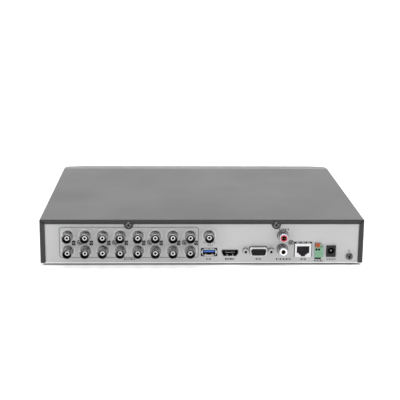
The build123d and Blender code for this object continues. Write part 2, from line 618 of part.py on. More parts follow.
def dc_socket():
    x, z = DC
    y0 = Y_INNER - 12.0
    body = block(x - 4.5, x + 4.5, y0, DC_FACE, BOARD_TOP + 0.2, z + 5.5)
    body -= rod_y(x, z + 0.4, DC_BORE_R, DC_FACE - 9.5, DC_FACE + 1)
    body -= Pos(x, DC_FACE - 0.3, z + 0.4) * Rot(-90, 0, 0) * Cone(DC_BORE_R, DC_BORE_R + 0.6, 0.6)
    body -= rod_y(x, z + 0.4, DC_PIN_R - 0.15, y0 - 1, DC_FACE)
    pin = rod_y(x, z + 0.4, DC_PIN_R, DC_FACE - 9.4, DC_FACE - 1.2)
    pin += rod_y(x, z + 0.4, DC_PIN_R - 0.2, y0 + 1, DC_FACE - 9.4)
    pin = fillet([e for e in pin.edges() if abs(e.center().Y - DC_FACE + 1.2) < 0.01], 0.35)
    save("dc_socket_body", body)
    save("dc_socket_pin", pin)


def ground_screw():
    x, z = GROUND
    screw = pan_screw(3.45, 2.2, 1.95, 6.0, recess=4.0)
    save("ground_screw", Pos(x, Y_PANEL + 0.02, z) * FACING_REAR * Rot(0, 0, 20) * screw)


# ---------------------------------------------------------------- fasteners and feet
def cover_screws():
    made = []
    rear = pan_screw(3.2, 1.9, 1.45, 6.0, recess=3.6)
    for sign in (1, -1):
        made.append(Pos(sign * TAB_X, Y_REAR + 0.02, TAB_Z) * FACING_REAR * Rot(0, 0, 30) * rear)
    return made


def cover_side_screws():
    made = []
    screw = pan_screw(3.2, 1.6, 1.45, 5.0, recess=3.6)
    for sign in (1, -1):
        for y, z in SIDE_SCREWS:
            made.append(Pos(sign * (X_SIDE + 0.02), y, z) * Rot(0, sign * 90, 0) * screw)
    return made


def rubber_feet():
    made = []
    for x, y in FEET:
        foot = rod_z(x, y, 8.0, -LIFT, CASE_LOW - 0.02)
        made.append(chamfer(foot.edges().group_by(Axis.Z)[0], 0.3))
    return made


# ---------------------------------------------------------------- main board and what stands on it
HEADER_X = (46.0, 30.0, FRONT_LEAD_X, 78.0)      # data, power, front board, fan
HEADER_Y = 20.0


def main_board():
    board = block(-152, 152, 16, Y_INNER - 1.5, BOARD_TOP - BOARD_T, BOARD_TOP)
    for x, y in BOARD_SCREWS:
        board -= rod_z(x, y, 1.7, 0, 10)
    # notch that clears the earth screw
    return board - block(GROUND[0] - 9, GROUND[0] + 6, 104, Y_INNER, 0, 10)


def board_screws():
    screw = pan_screw(2.8, 1.6, 1.3, 5.0, recess=2.8)
    return [Pos(x, y, BOARD_TOP + 0.01) * screw for x, y in BOARD_SCREWS]


def board_parts():
    z = BOARD_TOP
    soc = (-40.0, 56.0)
    save("processor", block(soc[0] - 11, soc[0] + 11, soc[1] - 11, soc[1] + 11, z, z + 1.8))
    sink = block(soc[0] - 22, soc[0] + 22, soc[1] - 20, soc[1] + 20, z + 1.85, z + 18)
    for i in range(10):
        x = soc[0] - 19.8 + i * 4.4
        sink -= block(x - 1.5, x + 1.5, soc[1] - 21, soc[1] + 21, z + 4.6, z + 19)
    save("heat_sink", sink)
    memory = [(x, y) for x in (-6.0, 12.0) for y in (46.0, 66.0)]
    converters = [(x, 76.0) for x in (36.0, 68.0, 100.0, 130.0)]
    save("board_chips", *[block(x - 6, x + 6, y - 6, y + 6, z, z + 1.2) for x, y in memory + converters])
    cans = ((-128, 62), (-118, 62), (-108, 62), (-128, 74), (-118, 74))
    caps = [rod_z(x, y, 4.0, z, z + 11.5) for x, y in cans]
    save("capacitors", *[fillet(c.edges().group_by(Axis.Z)[-1], 0.6) for c in caps])
    cell = rod_z(110, 48, 10.0, z + 0.3, z + 3.5) + rod_z(110, 48, 5.0, z, z + 0.3)
    save("coin_cell", fillet(cell.edges().group_by(Axis.Z)[-1], 0.6))
    headers = [block(x - 6, x + 6, HEADER_Y, HEADER_Y + 6, z, z + 7.0) for x in HEADER_X]
    save("board_headers", *headers)


# ---------------------------------------------------------------- hard drive
PLATTER_R = 47.5
PLATTER_Z = (HDD_Z0 + 12.0, HDD_Z0 + 16.0)
HUB_R = 12.5
ARM_LENGTH = 46.0
ARM_REST = 20.0          # parked by the hub


def hard_drive():
    sx, sy, sz = HDD_SIZE
    x0, y0, z0 = HDD_X0, HDD_Y0, HDD_Z0
    base = block(x0, x0 + sx, y0, y0 + sy, z0, z0 + sz - 1.05)
    base = fillet(base.edges().filter_by(Axis.Z), 3.0)
    well = rod_z(*SPINDLE, PLATTER_R + 1.3, z0 + 8, z0 + 30)
    well += block(PIVOT[0] - 34, x0 + sx - 5, y0 + 5, y0 + sy - 5, z0 + 8, z0 + 30)
    base -= well
    base -= block(x0 + 14, x0 + sx - 14, y0 + 10, y0 + sy - 10, z0 - 1, z0 + 2.6)
    for x, y in hdd_screw_places():
        base -= rod_z(x, y, 1.7, z0 - 1, z0 + 6)
    # the connector shelf at the end
    base -= block(x0 + sx - 5, x0 + sx + 1, y0 + 30, y0 + 76, z0 - 1, z0 + 7)
    base -= block(x0 + sx - 15, x0 + sx - 4, y0 + 31, y0 + 75, z0 - 1, z0 + 2.6)
    base -= rod_z(*SPINDLE, 3.05, z0 + 5, z0 + 9)
    base -= rod_z(*PIVOT, 3.05, z0 + 5, z0 + 9)
    save("hard_drive_base", base)
    lid = block(x0 + 0.5, x0 + sx - 0.5, y0 + 0.5, y0 + sy - 0.5, z0 + sz - 1.0, z0 + sz)
    lid = fillet(lid.edges().filter_by(Axis.Z), 3.0)
    lid_places = [(x0 + dx, y0 + dy) for dx in (7, sx - 7) for dy in (4, sy - 4)] + [(x0 + 73, y0 + 3)]
    for x, y in lid_places:
        lid -= rod_z(x, y, 1.1, 0, 60)
    save("hard_drive_lid", lid)
    board = block(x0 + 16, x0 + sx - 16, y0 + 12, y0 + sy - 12, z0 + 0.9, z0 + 2.55)
    board += block(x0 + sx - 17, x0 + sx - 4, y0 + 32, y0 + 74, z0 + 0.9, z0 + 2.55)
    board += block(x0 + sx - 4.9, x0 + sx - 0.5, y0 + 32, y0 + 74, z0 + 0.4, z0 + 6.5)
    save("hard_drive_board", board)
    hub = rod_z(*SPINDLE, HUB_R - 0.05, z0 + 9.0, PLATTER_Z[1] + 2.5)
    save("hard_drive_spindle", hub + rod_z(*SPINDLE, 3.0, z0 + 5.2, z0 + 9.0))
    discs = [rod_z(*SPINDLE, PLATTER_R, z, z + 1.2) - rod_z(*SPINDLE, HUB_R, z - 1, z + 2)
             for z in PLATTER_Z]
    save("hard_drive_platters", *discs)
    save("hard_drive_actuator", actuator())
    screws = [Pos(x, y, CASE_LOW - 0.02) * Rot(180, 0, 0) * pan_screw(3.4, 0.75, 1.65, 6.5, recess=3.2)
              for x, y in hdd_screw_places()]
    save("hard_drive_screws", *screws)


def actuator():
    """Head arm: a pivot sleeve, a coil paddle behind it and a thin arm over each platter."""
    z0 = HDD_Z0
    arm = rod_z(0, 0, 7.0, z0 + 9.0, PLATTER_Z[1] + 3.6) + rod_z(0, 0, 3.0, z0 + 5.2, z0 + 9.0)
    blade = outline([(0, 6), (-ARM_LENGTH, 1.5), (-ARM_LENGTH, -1.5), (0, -6)])
    for z in PLATTER_Z:
        arm += extrude(Plane.XY.offset(z + 2.0) * blade, amount=0.9)
    paddle = outline([(0, 5), (22, 9), (22, -9), (0, -5)])
    arm += extrude(Plane.XY.offset(z0 + 13.0) * paddle, amount=2.4)
    return Pos(PIVOT[0], PIVOT[1], 0) * Rot(0, 0, ARM_REST) * arm


# ---------------------------------------------------------------- fan
def cooling_fan():
    x1 = X_TRAY - TRAY_T - GAP
    x0 = x1 - 10.0
    frame = block(x0, x1, FAN_Y - 20, FAN_Y + 20, FAN_Z - 20, FAN_Z + 20)
    frame = fillet(frame.edges().filter_by(Axis.X), 3.0)
    frame -= rod_x(FAN_Y, FAN_Z, 19.0, x0 - 1, x1 + 1)
    spider = rod_x(FAN_Y, FAN_Z, 9.0, x0, x0 + 1.6)
    centre = Pos(x0 + 0.6, FAN_Y, FAN_Z)
    for turn in (45, 135, 225):
        spider += centre * Rot(turn, 0, 0) * Pos(0, 13.6, 0) * Box(1.2, 11.6, 2.0)
    frame += spider + rod_x(FAN_Y, FAN_Z, 1.5, x0 + 1.0, x0 + 5.0)
    for dy in (-16.0, 16.0):
        for dz in (-16.0, 16.0):
            frame -= rod_x(FAN_Y + dy, FAN_Z + dz, 1.7, x0 - 1, x1 + 1)
    save("fan_frame", frame)
    rotor = rod_x(FAN_Y, FAN_Z, 8.0, x0 + 1.8, x1 - 0.6) - rod_x(FAN_Y, FAN_Z, 1.55, x0, x0 + 5.1)
    for i in range(7):
        blade = Box(6.0, 10.6, 0.9)
        around = Pos((x0 + x1) / 2 + 0.7, FAN_Y, FAN_Z) * Rot(360 / 7 * i, 0, 0)
        rotor += around * Pos(0, 12.9, 0) * Rot(0, 38, 0) * blade
    save("fan_rotor", rotor)
    screws = []
    for dy in (-16.0, 16.0):
        for dz in (-16.0, 16.0):
            screw = pan_screw(2.7, 1.4, 1.5, 9.0, recess=2.8)
            screws.append(Pos(x0 - 0.02, FAN_Y + dy, FAN_Z + dz) * Rot(0, -90, 0) * screw)
    save("fan_screws", *screws)


# ---------------------------------------------------------------- internal leads
def flat_lead(points, radius, width, thickness):
    """A flat lead: a rectangular section swept along straight runs joined by arcs."""
    path = FilletPolyline(*points, radius=radius)
    section = Plane(origin=path @ 0, z_dir=path % 0, x_dir=(0, 0, 1)) * Rectangle(width, thickness)
    return sweep(section, path=path)


def board_plug(x, height):
    """Plug pushed into one of the headers at the front edge of the main board."""
    return block(x - 5.5, x + 5.5, HEADER_Y - 8.0, HEADER_Y - GAP, BOARD_TOP + GAP, BOARD_TOP + height)


def internal_leads():
    """Leads with moulded ends, on edge between the drive, the front board, the fan and the main board."""
    x_end = HDD_X0 + HDD_SIZE[0]
    z, y_end = 9.4, HEADER_Y - 7.0
    data_x, power_x, front_x, fan_x = HEADER_X
    for name, y, half, x, width, thickness in (
        ("sata_data_lead", HDD_Y0 + 42.0, 7.0, data_x, 7.0, 1.2),
        ("sata_power_lead", HDD_Y0 + 60.5, 10.5, power_x, 6.0, 2.4),
    ):
        lead = flat_lead([(x_end + 8, y, z), (x, y, z), (x, y_end, z)], 8.0, width, thickness)
        lead += block(x_end, x_end + 9, y - half, y + half, HDD_Z0 + 1, HDD_Z0 + 9)
        save(name, lead + board_plug(x, 6.5))
    y0 = FRONT_BOARD_Y + BOARD_T
    path = [(front_x, y0 + 4, z + 1), (front_x, -70, z + 1), (front_x + 8, -50, z + 1),
            (front_x + 8, -20, z + 1), (front_x, 0, z + 1), (front_x, y_end, z + 1)]
    lead = flat_lead(path, 10.0, 6.0, 1.0)
    lead += block(front_x - 5, front_x + 5, y0 + GAP, y0 + 6, 8.0, 15.0)
    save("front_panel_lead", lead + board_plug(front_x, 6.5))
    x0 = X_TRAY - TRAY_T - GAP - 10.0
    path = [(x0 - GAP, FAN_Y + 13, z), (120, FAN_Y + 13, z), (fan_x, FAN_Y + 28, z), (fan_x, y_end, z)]
    save("fan_lead", flat_lead(path, 8.0, 2.4, 1.2) + board_plug(fan_x, 6.5))


def main():
    os.makedirs("parts", exist_ok=True)
    save("top_cover", top_cover())
    save("chassis_tray", chassis_tray())
    save("front_bezel", front_bezel())
    save("front_window", front_window())
    front_parts()
    save("bnc_jacks", *[bnc_jack(x, z) for x, z in BNC_PLACES])
    save("bnc_insulators", *[bnc_insulator(x, z) for x, z in BNC_PLACES])
    save("bnc_contacts", *[bnc_contact(x, z) for x, z in BNC_PLACES])
    save("bnc_blocks", *bnc_blocks())
    save("connector_screws", *small_screws(BLOCK_SCREWS + [RCA_SCREW]))
    rca_jacks()
    rear_usb()
    rear_hdmi()
    rear_vga()
    rear_lan()
    spring_terminal()
    dc_socket()
    ground_screw()
    save("cover_rear_screws", *cover_screws())
    save("cover_side_screws", *cover_side_screws())
    save("rubber_feet", *rubber_feet())
    save("main_board", main_board())
    save("board_screws", *board_screws())
    board_parts()
    hard_drive()
    cooling_fan()
    internal_leads()


main()
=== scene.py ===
"""Visual model of the desktop video recorder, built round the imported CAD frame.

The frame is in metres, +Z up, with the rear panel at +Y. Profiles and outlines here are written in mm.
"""
import json
import math

import bmesh
import bpy
from mathutils import Matrix, Vector


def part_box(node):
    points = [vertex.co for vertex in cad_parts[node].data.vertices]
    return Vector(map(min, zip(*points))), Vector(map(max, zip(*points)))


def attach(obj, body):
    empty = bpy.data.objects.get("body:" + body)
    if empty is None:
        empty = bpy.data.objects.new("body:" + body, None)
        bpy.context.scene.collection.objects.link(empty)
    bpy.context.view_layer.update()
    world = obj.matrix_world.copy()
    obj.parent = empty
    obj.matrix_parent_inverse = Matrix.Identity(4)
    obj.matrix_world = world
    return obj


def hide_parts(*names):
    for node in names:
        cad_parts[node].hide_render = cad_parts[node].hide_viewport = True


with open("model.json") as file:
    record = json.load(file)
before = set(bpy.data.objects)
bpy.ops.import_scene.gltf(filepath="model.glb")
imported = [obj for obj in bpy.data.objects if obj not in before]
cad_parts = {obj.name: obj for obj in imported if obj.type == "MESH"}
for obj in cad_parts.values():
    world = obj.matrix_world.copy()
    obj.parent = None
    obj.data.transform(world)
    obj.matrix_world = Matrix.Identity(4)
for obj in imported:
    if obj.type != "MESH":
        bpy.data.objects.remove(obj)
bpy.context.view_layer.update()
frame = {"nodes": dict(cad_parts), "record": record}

MM = 0.001
NODES = frame["nodes"]
SCENE = bpy.context.scene

# ------------------------------------------------------------------ places from the frame
COVER_HEIGHT = 45.0                            # mm, from the datum of all heights to the cover's top
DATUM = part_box("top_cover")[1].z * 1000 - COVER_HEIGHT
PANEL_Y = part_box("chassis_tray")[1].y          # outer face of the rear panel, in metres
FLANGE_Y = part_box("top_cover")[1].y            # rear flange of the cover, in metres
PANEL, FLANGE = PANEL_Y / MM, FLANGE_Y / MM
INNER = PANEL - 1.0                            # inner face of the rear panel
USB_Z, HDMI_Z, VGA_Z, LAN_Z = (DATUM + h for h in (12.1, 11.2, 13.6, 14.0))
INK = 0.035                                    # mm, thickness of the printing

# ------------------------------------------------------------------ light, floor and camera
WALL_BRIGHT = 1.62                             # world beyond the recorder
ROOM_DIM = 0.04                                # share of it behind the camera
SIDE_POWER = 3.7                               # watts of each softbox
RIGHT_SHARE = 0.55                             # of the side power, on the right
FRONT_POWER = 5.0
TOP_POWER = 13.0
FLOOR_SIZE = 80.0                              # metres, centre to edge
FLOOR_GLOW = 0.52
UNDER_CASE = (("X", 0.0, 0.1550), ("Y", -0.006, 0.1212))    # axis, centre and half size, without glow
CAMERA_TURN = (14.47, 1.89, 0.51)              # degrees of pitch, yaw and roll
CAMERA_PLACE = (0.0324, FLANGE_Y + 0.8967, 0.2963 + DATUM * MM)
CAMERA_SENSOR, CAMERA_LENS = 36.0, 86.76       # mm


# ------------------------------------------------------------------ materials
MATS = {}                # every finish by its name, filled by the functions below


class Tree:
    """A small helper for wiring shader nodes."""

    def __init__(self, name):
        self.mat = bpy.data.materials.new(name)
        self.mat.use_nodes = True
        self.nodes, self.links = self.mat.node_tree.nodes, self.mat.node_tree.links
        self.bsdf = self.nodes["Principled BSDF"]

    def add(self, kind, **values):
        node = self.nodes.new(kind)
        for key, value in values.items():
            if hasattr(node, key) and key not in node.inputs:
                setattr(node, key, value)
            else:
                node.inputs[key].default_value = value
        return node

    def link(self, a, b):
        self.links.new(a, b)

    def coords(self):
        return self.add("ShaderNodeTexCoord").outputs["Object"]

    def noise(self, scale, detail=2.0, stretch=(1, 1, 1), rough=0.5):
        vector = self.coords()
        if stretch != (1, 1, 1):
            mapping = self.add("ShaderNodeMapping")
            mapping.inputs["Scale"].default_value = stretch
            self.link(vector, mapping.inputs["Vector"])
            vector = mapping.outputs["Vector"]
        node = self.add("ShaderNodeTexNoise", Scale=scale, Detail=detail, Roughness=rough)
        self.link(vector, node.inputs["Vector"])
        return node.outputs["Fac"]

    def ramp(self, fac, stops):
        node = self.add("ShaderNodeValToRGB")
        ramp = node.color_ramp
        while len(ramp.elements) < len(stops):
            ramp.elements.new(0.5)
        for element, (pos, color) in zip(ramp.elements, stops):
            element.position = pos
            element.color = (*color, 1) if len(color) == 3 else color
        self.link(fac, node.inputs["Fac"])
        return node.outputs["Color"]

    def spread(self, fac, low, high):
        """A value from low to high as the noise goes from 0.3 to 0.7."""
        node = self.add("ShaderNodeMapRange")
        for key, value in (("From Min", 0.3), ("From Max", 0.7), ("To Min", low), ("To Max", high)):
            node.inputs[key].default_value = value
        self.link(fac, node.inputs["Value"])
        return node.outputs["Result"]

    def bump(self, fac, strength, distance, normal=None):
        node = self.add("ShaderNodeBump", Strength=strength, Distance=distance)
        self.link(fac, node.inputs["Height"])
        if normal is not None:
            self.link(normal, node.inputs["Normal"])
        return node.outputs["Normal"]

    def set(self, **values):
        for key, value in values.items():
            self.bsdf.inputs[key.replace("_", " ")].default_value = value
        return self


def shade(color, amount):
    """The color made lighter or darker, within 0 to 1."""
    return tuple(max(0.0, min(1.0, c * amount)) for c in color)


def surface(name, color, rough, metal=0.0, vary=0.08, vary_scale=60.0, grain=None, rough_spread=0.06,
            stretch=(1, 1, 1), specular=0.5, **extra):
    """A finish with slow colour drift and uneven gloss. Its fine grain is (scale, strength, mm deep)."""
    t = Tree(name)
    drift = t.noise(vary_scale, 3.0, stretch)
    colors = t.ramp(drift, [(0.3, shade(color, 1 - vary)), (0.7, shade(color, 1 + vary))])
    t.link(colors, t.bsdf.inputs["Base Color"])
    gloss = t.noise(vary_scale * 2.3, 4.0, stretch, 0.6)
    uneven = t.spread(gloss, max(0.02, rough - rough_spread), rough + rough_spread)
    t.link(uneven, t.bsdf.inputs["Roughness"])
    if grain:
        scale, strength, depth = grain
        t.link(t.bump(t.noise(scale, 2.0, stretch), strength, depth * MM), t.bsdf.inputs["Normal"])
    t.set(Metallic=metal, Specular_IOR_Level=specular, **extra)
    MATS[name] = t.mat


def powder_coat(name, color):
    """Dark powder coat: a fine leathery grain with a slightly lighter, glossier crest on each grain."""
    t = Tree(name)
    fine = t.noise(1500.0, 2.0)
    t.link(t.ramp(fine, [(0.3, shade(color, 0.8)), (0.72, shade(color, 1.25))]), t.bsdf.inputs["Base Color"])
    broad = t.noise(14.0, 3.0)
    t.link(t.spread(broad, 0.38, 0.44), t.bsdf.inputs["Roughness"])
    normal = t.bump(t.noise(420.0, 3.0), 0.06, 0.10 * MM)
    t.link(t.bump(fine, 0.25, 0.05 * MM, normal), t.bsdf.inputs["Normal"])
    t.set(Specular_IOR_Level=0.47)
    MATS[name] = t.mat


def circuit_board(name):
    """Green solder mask over a pattern of copper tracks."""
    t = Tree(name)
    tracks = t.add("ShaderNodeTexBrick", Scale=1.0, offset=0.37)
    for key, value in (("Brick Width", 0.0093), ("Row Height", 0.0021), ("Mortar Size", 0.0004),
                       ("Mortar Smooth", 0.2)):
        tracks.inputs[key].default_value = value
    tracks.inputs["Color1"].default_value = (0.010, 0.075, 0.030, 1)
    tracks.inputs["Color2"].default_value = (0.016, 0.110, 0.045, 1)
    tracks.inputs["Mortar"].default_value = (0.030, 0.170, 0.070, 1)
    t.link(t.coords(), tracks.inputs["Vector"])
    t.link(tracks.outputs["Color"], t.bsdf.inputs["Base Color"])
    t.link(t.bump(tracks.outputs["Fac"], 0.3, 0.03 * MM), t.bsdf.inputs["Normal"])
    t.link(t.spread(t.noise(90.0), 0.25, 0.38), t.bsdf.inputs["Roughness"])
    MATS[name] = t.mat


powder_coat("case_paint", (0.0235, 0.0212, 0.0238))
surface("panel_sheet", (0.535, 0.535, 0.538), 0.42, vary=0.015, vary_scale=25, grain=(900, 0.10, 0.02))
surface("bezel_plastic", (0.13, 0.13, 0.134), 0.42, vary=0.04, vary_scale=40, grain=(1600, 0.12, 0.02))
surface("window_plastic", (0.012, 0.008, 0.012), 0.07, vary=0.1, rough_spread=0.02, Coat_Weight=0.5)
surface("clear_plastic", (0.80, 0.82, 0.80), 0.12, Transmission_Weight=0.6, vary=0.02)
circuit_board("circuit_board")
surface("black_plastic", (0.014, 0.013, 0.014), 0.5, vary=0.15, specular=0.35, grain=(1300, 0.12, 0.03))
surface("white_plastic", (0.74, 0.735, 0.71), 0.36, vary=0.02, grain=(900, 0.06, 0.02),
        Subsurface_Weight=0.05)
surface("nickel", (0.235, 0.23, 0.235), 0.18, metal=1.0, vary=0.03, vary_scale=220,
        grain=(2600, 0.02, 0.01))
# Lighter copy of the nickel for the jack mouths: painted highlight.
surface("nickel_painted_highlight", (0.40, 0.395, 0.40), 0.2, metal=1.0, vary=0.03, vary_scale=220)
surface("tin_plate", (0.70, 0.70, 0.72), 0.36, metal=0.9, vary=0.03, vary_scale=200,
        grain=(1800, 0.05, 0.01))
surface("black_nickel", (0.035, 0.033, 0.036), 0.30, metal=0.8, vary=0.1, vary_scale=300)
# Light bluish copy of the shell metal for the phono jacks' rolled lips: painted highlight.
surface("lip_painted_highlight", (0.66, 0.69, 0.76), 0.30, metal=0.55, vary=0.02, grain=(1500, 0.03, 0.01))
# White with a faint glow: the glow is painted light, as these parts are no lamp.
surface("jack_white_painted_glow", (0.92, 0.92, 0.91), 0.40, vary=0.01, Emission_Color=(1, 1, 1, 1),
        Emission_Strength=0.32)
# Painted highlight for the panel's lower bend: a light colour with a faint glow.
surface("bend_painted_highlight", (0.80, 0.80, 0.81), 0.40, vary=0.02, vary_scale=40, grain=(900, 0.10, 0.02),
        Emission_Color=(1, 1, 1, 1), Emission_Strength=0.22)
# Dark copy of the nickel for the phono shells: painted shade.
surface("rca_nickel_painted_shade", (0.25, 0.245, 0.25), 0.14, metal=1.0, vary=0.03, grain=(2600, 0.02, 0.01))
surface("shell_bright", (0.78, 0.78, 0.79), 0.42, metal=0.35, vary=0.02, grain=(1500, 0.04, 0.01))
surface("nut_grey", (0.50, 0.50, 0.505), 0.35, metal=0.4, vary=0.03, grain=(1500, 0.05, 0.01))
# Black plastic with a faint lavender glow: the glow is painted light.
surface("dull_black_painted_glow", (0.035, 0.031, 0.036), 0.55, vary=0.1, specular=0.3, grain=(1200, 0.1, 0.02),
        Emission_Color=(1.0, 0.87, 1.05, 1), Emission_Strength=0.018)
# Grey in place of the white insulator at the floor of each jack's bore: painted shade.
surface("bed_painted_shade", (0.20, 0.20, 0.20), 0.5, vary=0.05, grain=(1500, 0.05, 0.01))
surface("pin_grey", (0.20, 0.20, 0.20), 0.35, metal=0.9, vary=0.05)
# Lavender edge round the terminal: painted edge light.
surface("lavender_painted_edge_light", (0.42, 0.42, 0.56), 0.45, vary=0.03, grain=(1200, 0.05, 0.01))
surface("socket_black", (0.006, 0.0055, 0.006), 0.6, vary=0.2, specular=0.2, grain=(1200, 0.1, 0.02))
surface("gold_contact", (0.83, 0.60, 0.24), 0.22, metal=1.0, vary=0.05, vary_scale=300)
surface("blue_plastic", (0.045, 0.17, 0.62), 0.36, vary=0.05, grain=(1200, 0.06, 0.02))
surface("green_plastic", (0.215, 0.43, 0.275), 0.42, vary=0.04, vary_scale=200, grain=(1100, 0.08, 0.02),
        Subsurface_Weight=0.10)
surface("orange_plastic", (0.56, 0.10, 0.022), 0.45, vary=0.05, grain=(1100, 0.08, 0.02))
surface("red_plastic", (0.66, 0.035, 0.060), 0.32, vary=0.05)
surface("dark_screw", (0.15, 0.145, 0.15), 0.24, metal=1.0, vary=0.15, vary_scale=400,
        grain=(2200, 0.05, 0.01))
surface("bright_screw", (0.30, 0.30, 0.30), 0.26, metal=1.0, vary=0.05, vary_scale=400,
        grain=(2400, 0.05, 0.01))
surface("rubber", (0.018, 0.018, 0.018), 0.75, vary=0.12, grain=(700, 0.25, 0.05))
surface("aluminium", (0.70, 0.70, 0.71), 0.38, metal=1.0, vary=0.05, vary_scale=90,
        grain=(1500, 0.12, 0.03))
surface("chip_resin", (0.022, 0.022, 0.024), 0.55, vary=0.12, grain=(2200, 0.15, 0.02))
surface("can_sleeve", (0.018, 0.022, 0.05), 0.32, vary=0.1, grain=(900, 0.05, 0.02))
surface("steel", (0.62, 0.62, 0.62), 0.30, metal=1.0, vary=0.05, vary_scale=40, stretch=(1, 22, 1),
        grain=(500, 0.08, 0.01))
surface("chrome_disc", (0.80, 0.80, 0.82), 0.05, metal=1.0, vary=0.01, rough_spread=0.02)
surface("lead_sleeve", (0.42, 0.03, 0.03), 0.45, vary=0.06, grain=(700, 0.08, 0.03))
surface("lead_grey", (0.36, 0.36, 0.37), 0.5, vary=0.05, stretch=(1, 1, 30), grain=(160, 0.2, 0.05))
surface("dark_ink", (0.012, 0.012, 0.013), 0.6, vary=0.08, specular=0.15, grain=(2500, 0.1, 0.01))
surface("grey_ink", (0.235, 0.235, 0.24), 0.5, vary=0.04, grain=(2500, 0.1, 0.01))
surface("light_ink", (0.42, 0.42, 0.43), 0.5, vary=0.03)
MATS["jack_inserts"] = MATS["red_plastic"]

# CAD nodes that take another finish than their material slot's own
FINISH = {"vga_insert": "socket_black", "lan_housing": "dull_black_painted_glow", "dc_socket_pin": "pin_grey",
          "lan_shield": "shell_bright", "vga_shell": "shell_bright", "vga_jack_screws": "nut_grey"}
for part in frame["record"]["subparts"]:
    node = NODES[part["node"]]
    node.data.materials.clear()
    node.data.materials.append(MATS[FINISH.get(part["node"], part["material_slot"])])


# ------------------------------------------------------------------ mesh helpers
def piece(name, bm, mat, body="case", replaces=(), smooth=35.0):
    """Turns a bmesh into a named piece on a body."""
    bmesh.ops.remove_doubles(bm, verts=bm.verts, dist=1e-7)
    bmesh.ops.recalc_face_normals(bm, faces=bm.faces)
    mesh = bpy.data.meshes.new(name)
    bm.to_mesh(mesh)
    bm.free()
    mesh.materials.append(MATS[mat])
    if smooth:
        mesh.polygons.foreach_set("use_smooth", [True] * len(mesh.polygons))
        mesh.set_sharp_from_angle(angle=math.radians(smooth))
    obj = bpy.data.objects.new(name, mesh)
    SCENE.collection.objects.link(obj)
    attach(obj, body)
    if replaces:
        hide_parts(*replaces)
    return obj


def cos_sin(degrees):
    return math.cos(math.radians(degrees)), math.sin(math.radians(degrees))


def ring(bm, places):
    """New vertices at places given in mm."""
    return [bm.verts.new((x * MM, y * MM, z * MM)) for x, y, z in places]


def past(base, *profile):
    """Profile whose first values are distances past base."""
    return [(base + y, r) for y, r in profile]


def skin(bm, rings, closed=False):
    """Faces between rings of the same number of vertices, where a ring of one vertex is a point."""
    pairs = list(zip(rings, rings[1:]))
    if closed:
        pairs.append((rings[-1], rings[0]))
    steps = max(map(len, rings))
    for a, b in pairs:
        if len(a) == 1 and len(b) == 1:
            continue
        for i in range(steps):
            j = (i + 1) % steps
            if len(a) == 1:
                bm.faces.new((a[0], b[j], b[i]))
            elif len(b) == 1:
                bm.faces.new((a[i], a[j], b[0]))
            else:
                bm.faces.new((a[i], a[j], b[j], b[i]))


def bar(bm, rings):
    """Closed bar through a row of rings, with a face on each end."""
    bm.faces.new(rings[0])
    bm.faces.new(rings[-1][::-1])
    skin(bm, rings)


def turned(bm, profile, steps, place):
    """Profile of (along, r) turned about its axis. place(along, a, b) gives a point in mm."""
    rings = []
    for along, r in profile:
        angles = [2 * math.pi * i / steps for i in range(steps if r else 1)]
        rings.append(ring(bm, [place(along, r * math.cos(a), r * math.sin(a)) for a in angles]))
    skin(bm, rings, closed=len(rings[0]) > 1 and len(rings[-1]) > 1)


def lathe_y(bm, x, z, profile, steps=64):
    """Closed profile of (y, r) turned about the line through x, z along Y. r = 0 closes on the axis."""
    turned(bm, profile, steps, lambda y, a, b: (x + a, y, z + b))


def prism_y(bm, points, y0, y1):
    """Plate of an XZ outline, from y0 to y1."""
    bar(bm, [ring(bm, [(x, y, z) for x, z in points]) for y in (y0, y1)])


def arc(cx, cz, r, a0, a1, n=8):
    """Points of an XZ arc from a0 to a1 degrees, in n steps."""
    turns = [cos_sin(a0 + (a1 - a0) * i / n) for i in range(n + 1)]
    return [(cx + r * c, cz + r * s) for c, s in turns]


def rounded_rect(cx, cz, w, h, r, n=6):
    """XZ outline of a rectangle with rounded corners."""
    x, z = w / 2 - r, h / 2 - r
    return (arc(cx + x, cz + z, r, 0, 90, n) + arc(cx - x, cz + z, r, 90, 180, n)
            + arc(cx - x, cz - z, r, 180, 270, n) + arc(cx + x, cz - z, r, 270, 360, n))


def slot_outline(x, z, half_long, half_wide, turn):
    """XZ outline of a rectangle about x, z, turned by an angle in degrees."""
    c, s = cos_sin(turn)
    corners = [(a * half_long, b * half_wide) for a, b in ((-1, -1), (1, -1), (1, 1), (-1, 1))]
    return [(x + a * c - b * s, z + a * s + b * c) for a, b in corners]


def ring_y(bm, outer, inner, y0, y1):
    """Closed band between two outlines with the same number of points."""
    corners = ((outer, y0), (inner, y0), (inner, y1), (outer, y1))
    skin(bm, [ring(bm, [(x, y, z) for x, z in points]) for points, y in corners], closed=True)


# ------------------------------------------------------------------ the places of the jacks, from the CAD
def centres(node, count):
    """Middle of each separate shell of a CAD node in mm, largest X first."""
    bm = bmesh.new()
    bm.from_mesh(NODES[node].data)
    bmesh.ops.remove_doubles(bm, verts=bm.verts, dist=1e-6)
    left, found = set(bm.verts), []
    while left:
        stack, group = [left.pop()], []
        while stack:
            v = stack.pop()
            group.append(v.co.copy())
            for e in v.link_edges:
                w = e.other_vert(v)
                if w in left:
                    left.discard(w)
                    stack.append(w)
        lo = Vector([min(c[i] for c in group) for i in range(3)])
        hi = Vector([max(c[i] for c in group) for i in range(3)])
        found.append((lo + hi) / 2 / MM)
    bm.free()
    found = sorted(found, key=lambda c: (-round(c.x, 1), -c.z))
    assert len(found) == count, (node, len(found))
    return found


JACKS = [(c.x, c.z) for c in centres("bnc_insulators", 17)]     # 8 columns of two inputs, then the output
COLUMNS = 8
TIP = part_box("bnc_jacks")[1].y / MM            # mouth of the jacks
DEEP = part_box("bnc_insulators")[1].y / MM      # face of their insulators
LUG_Y = TIP - 5.2                              # axis of the bayonet lugs


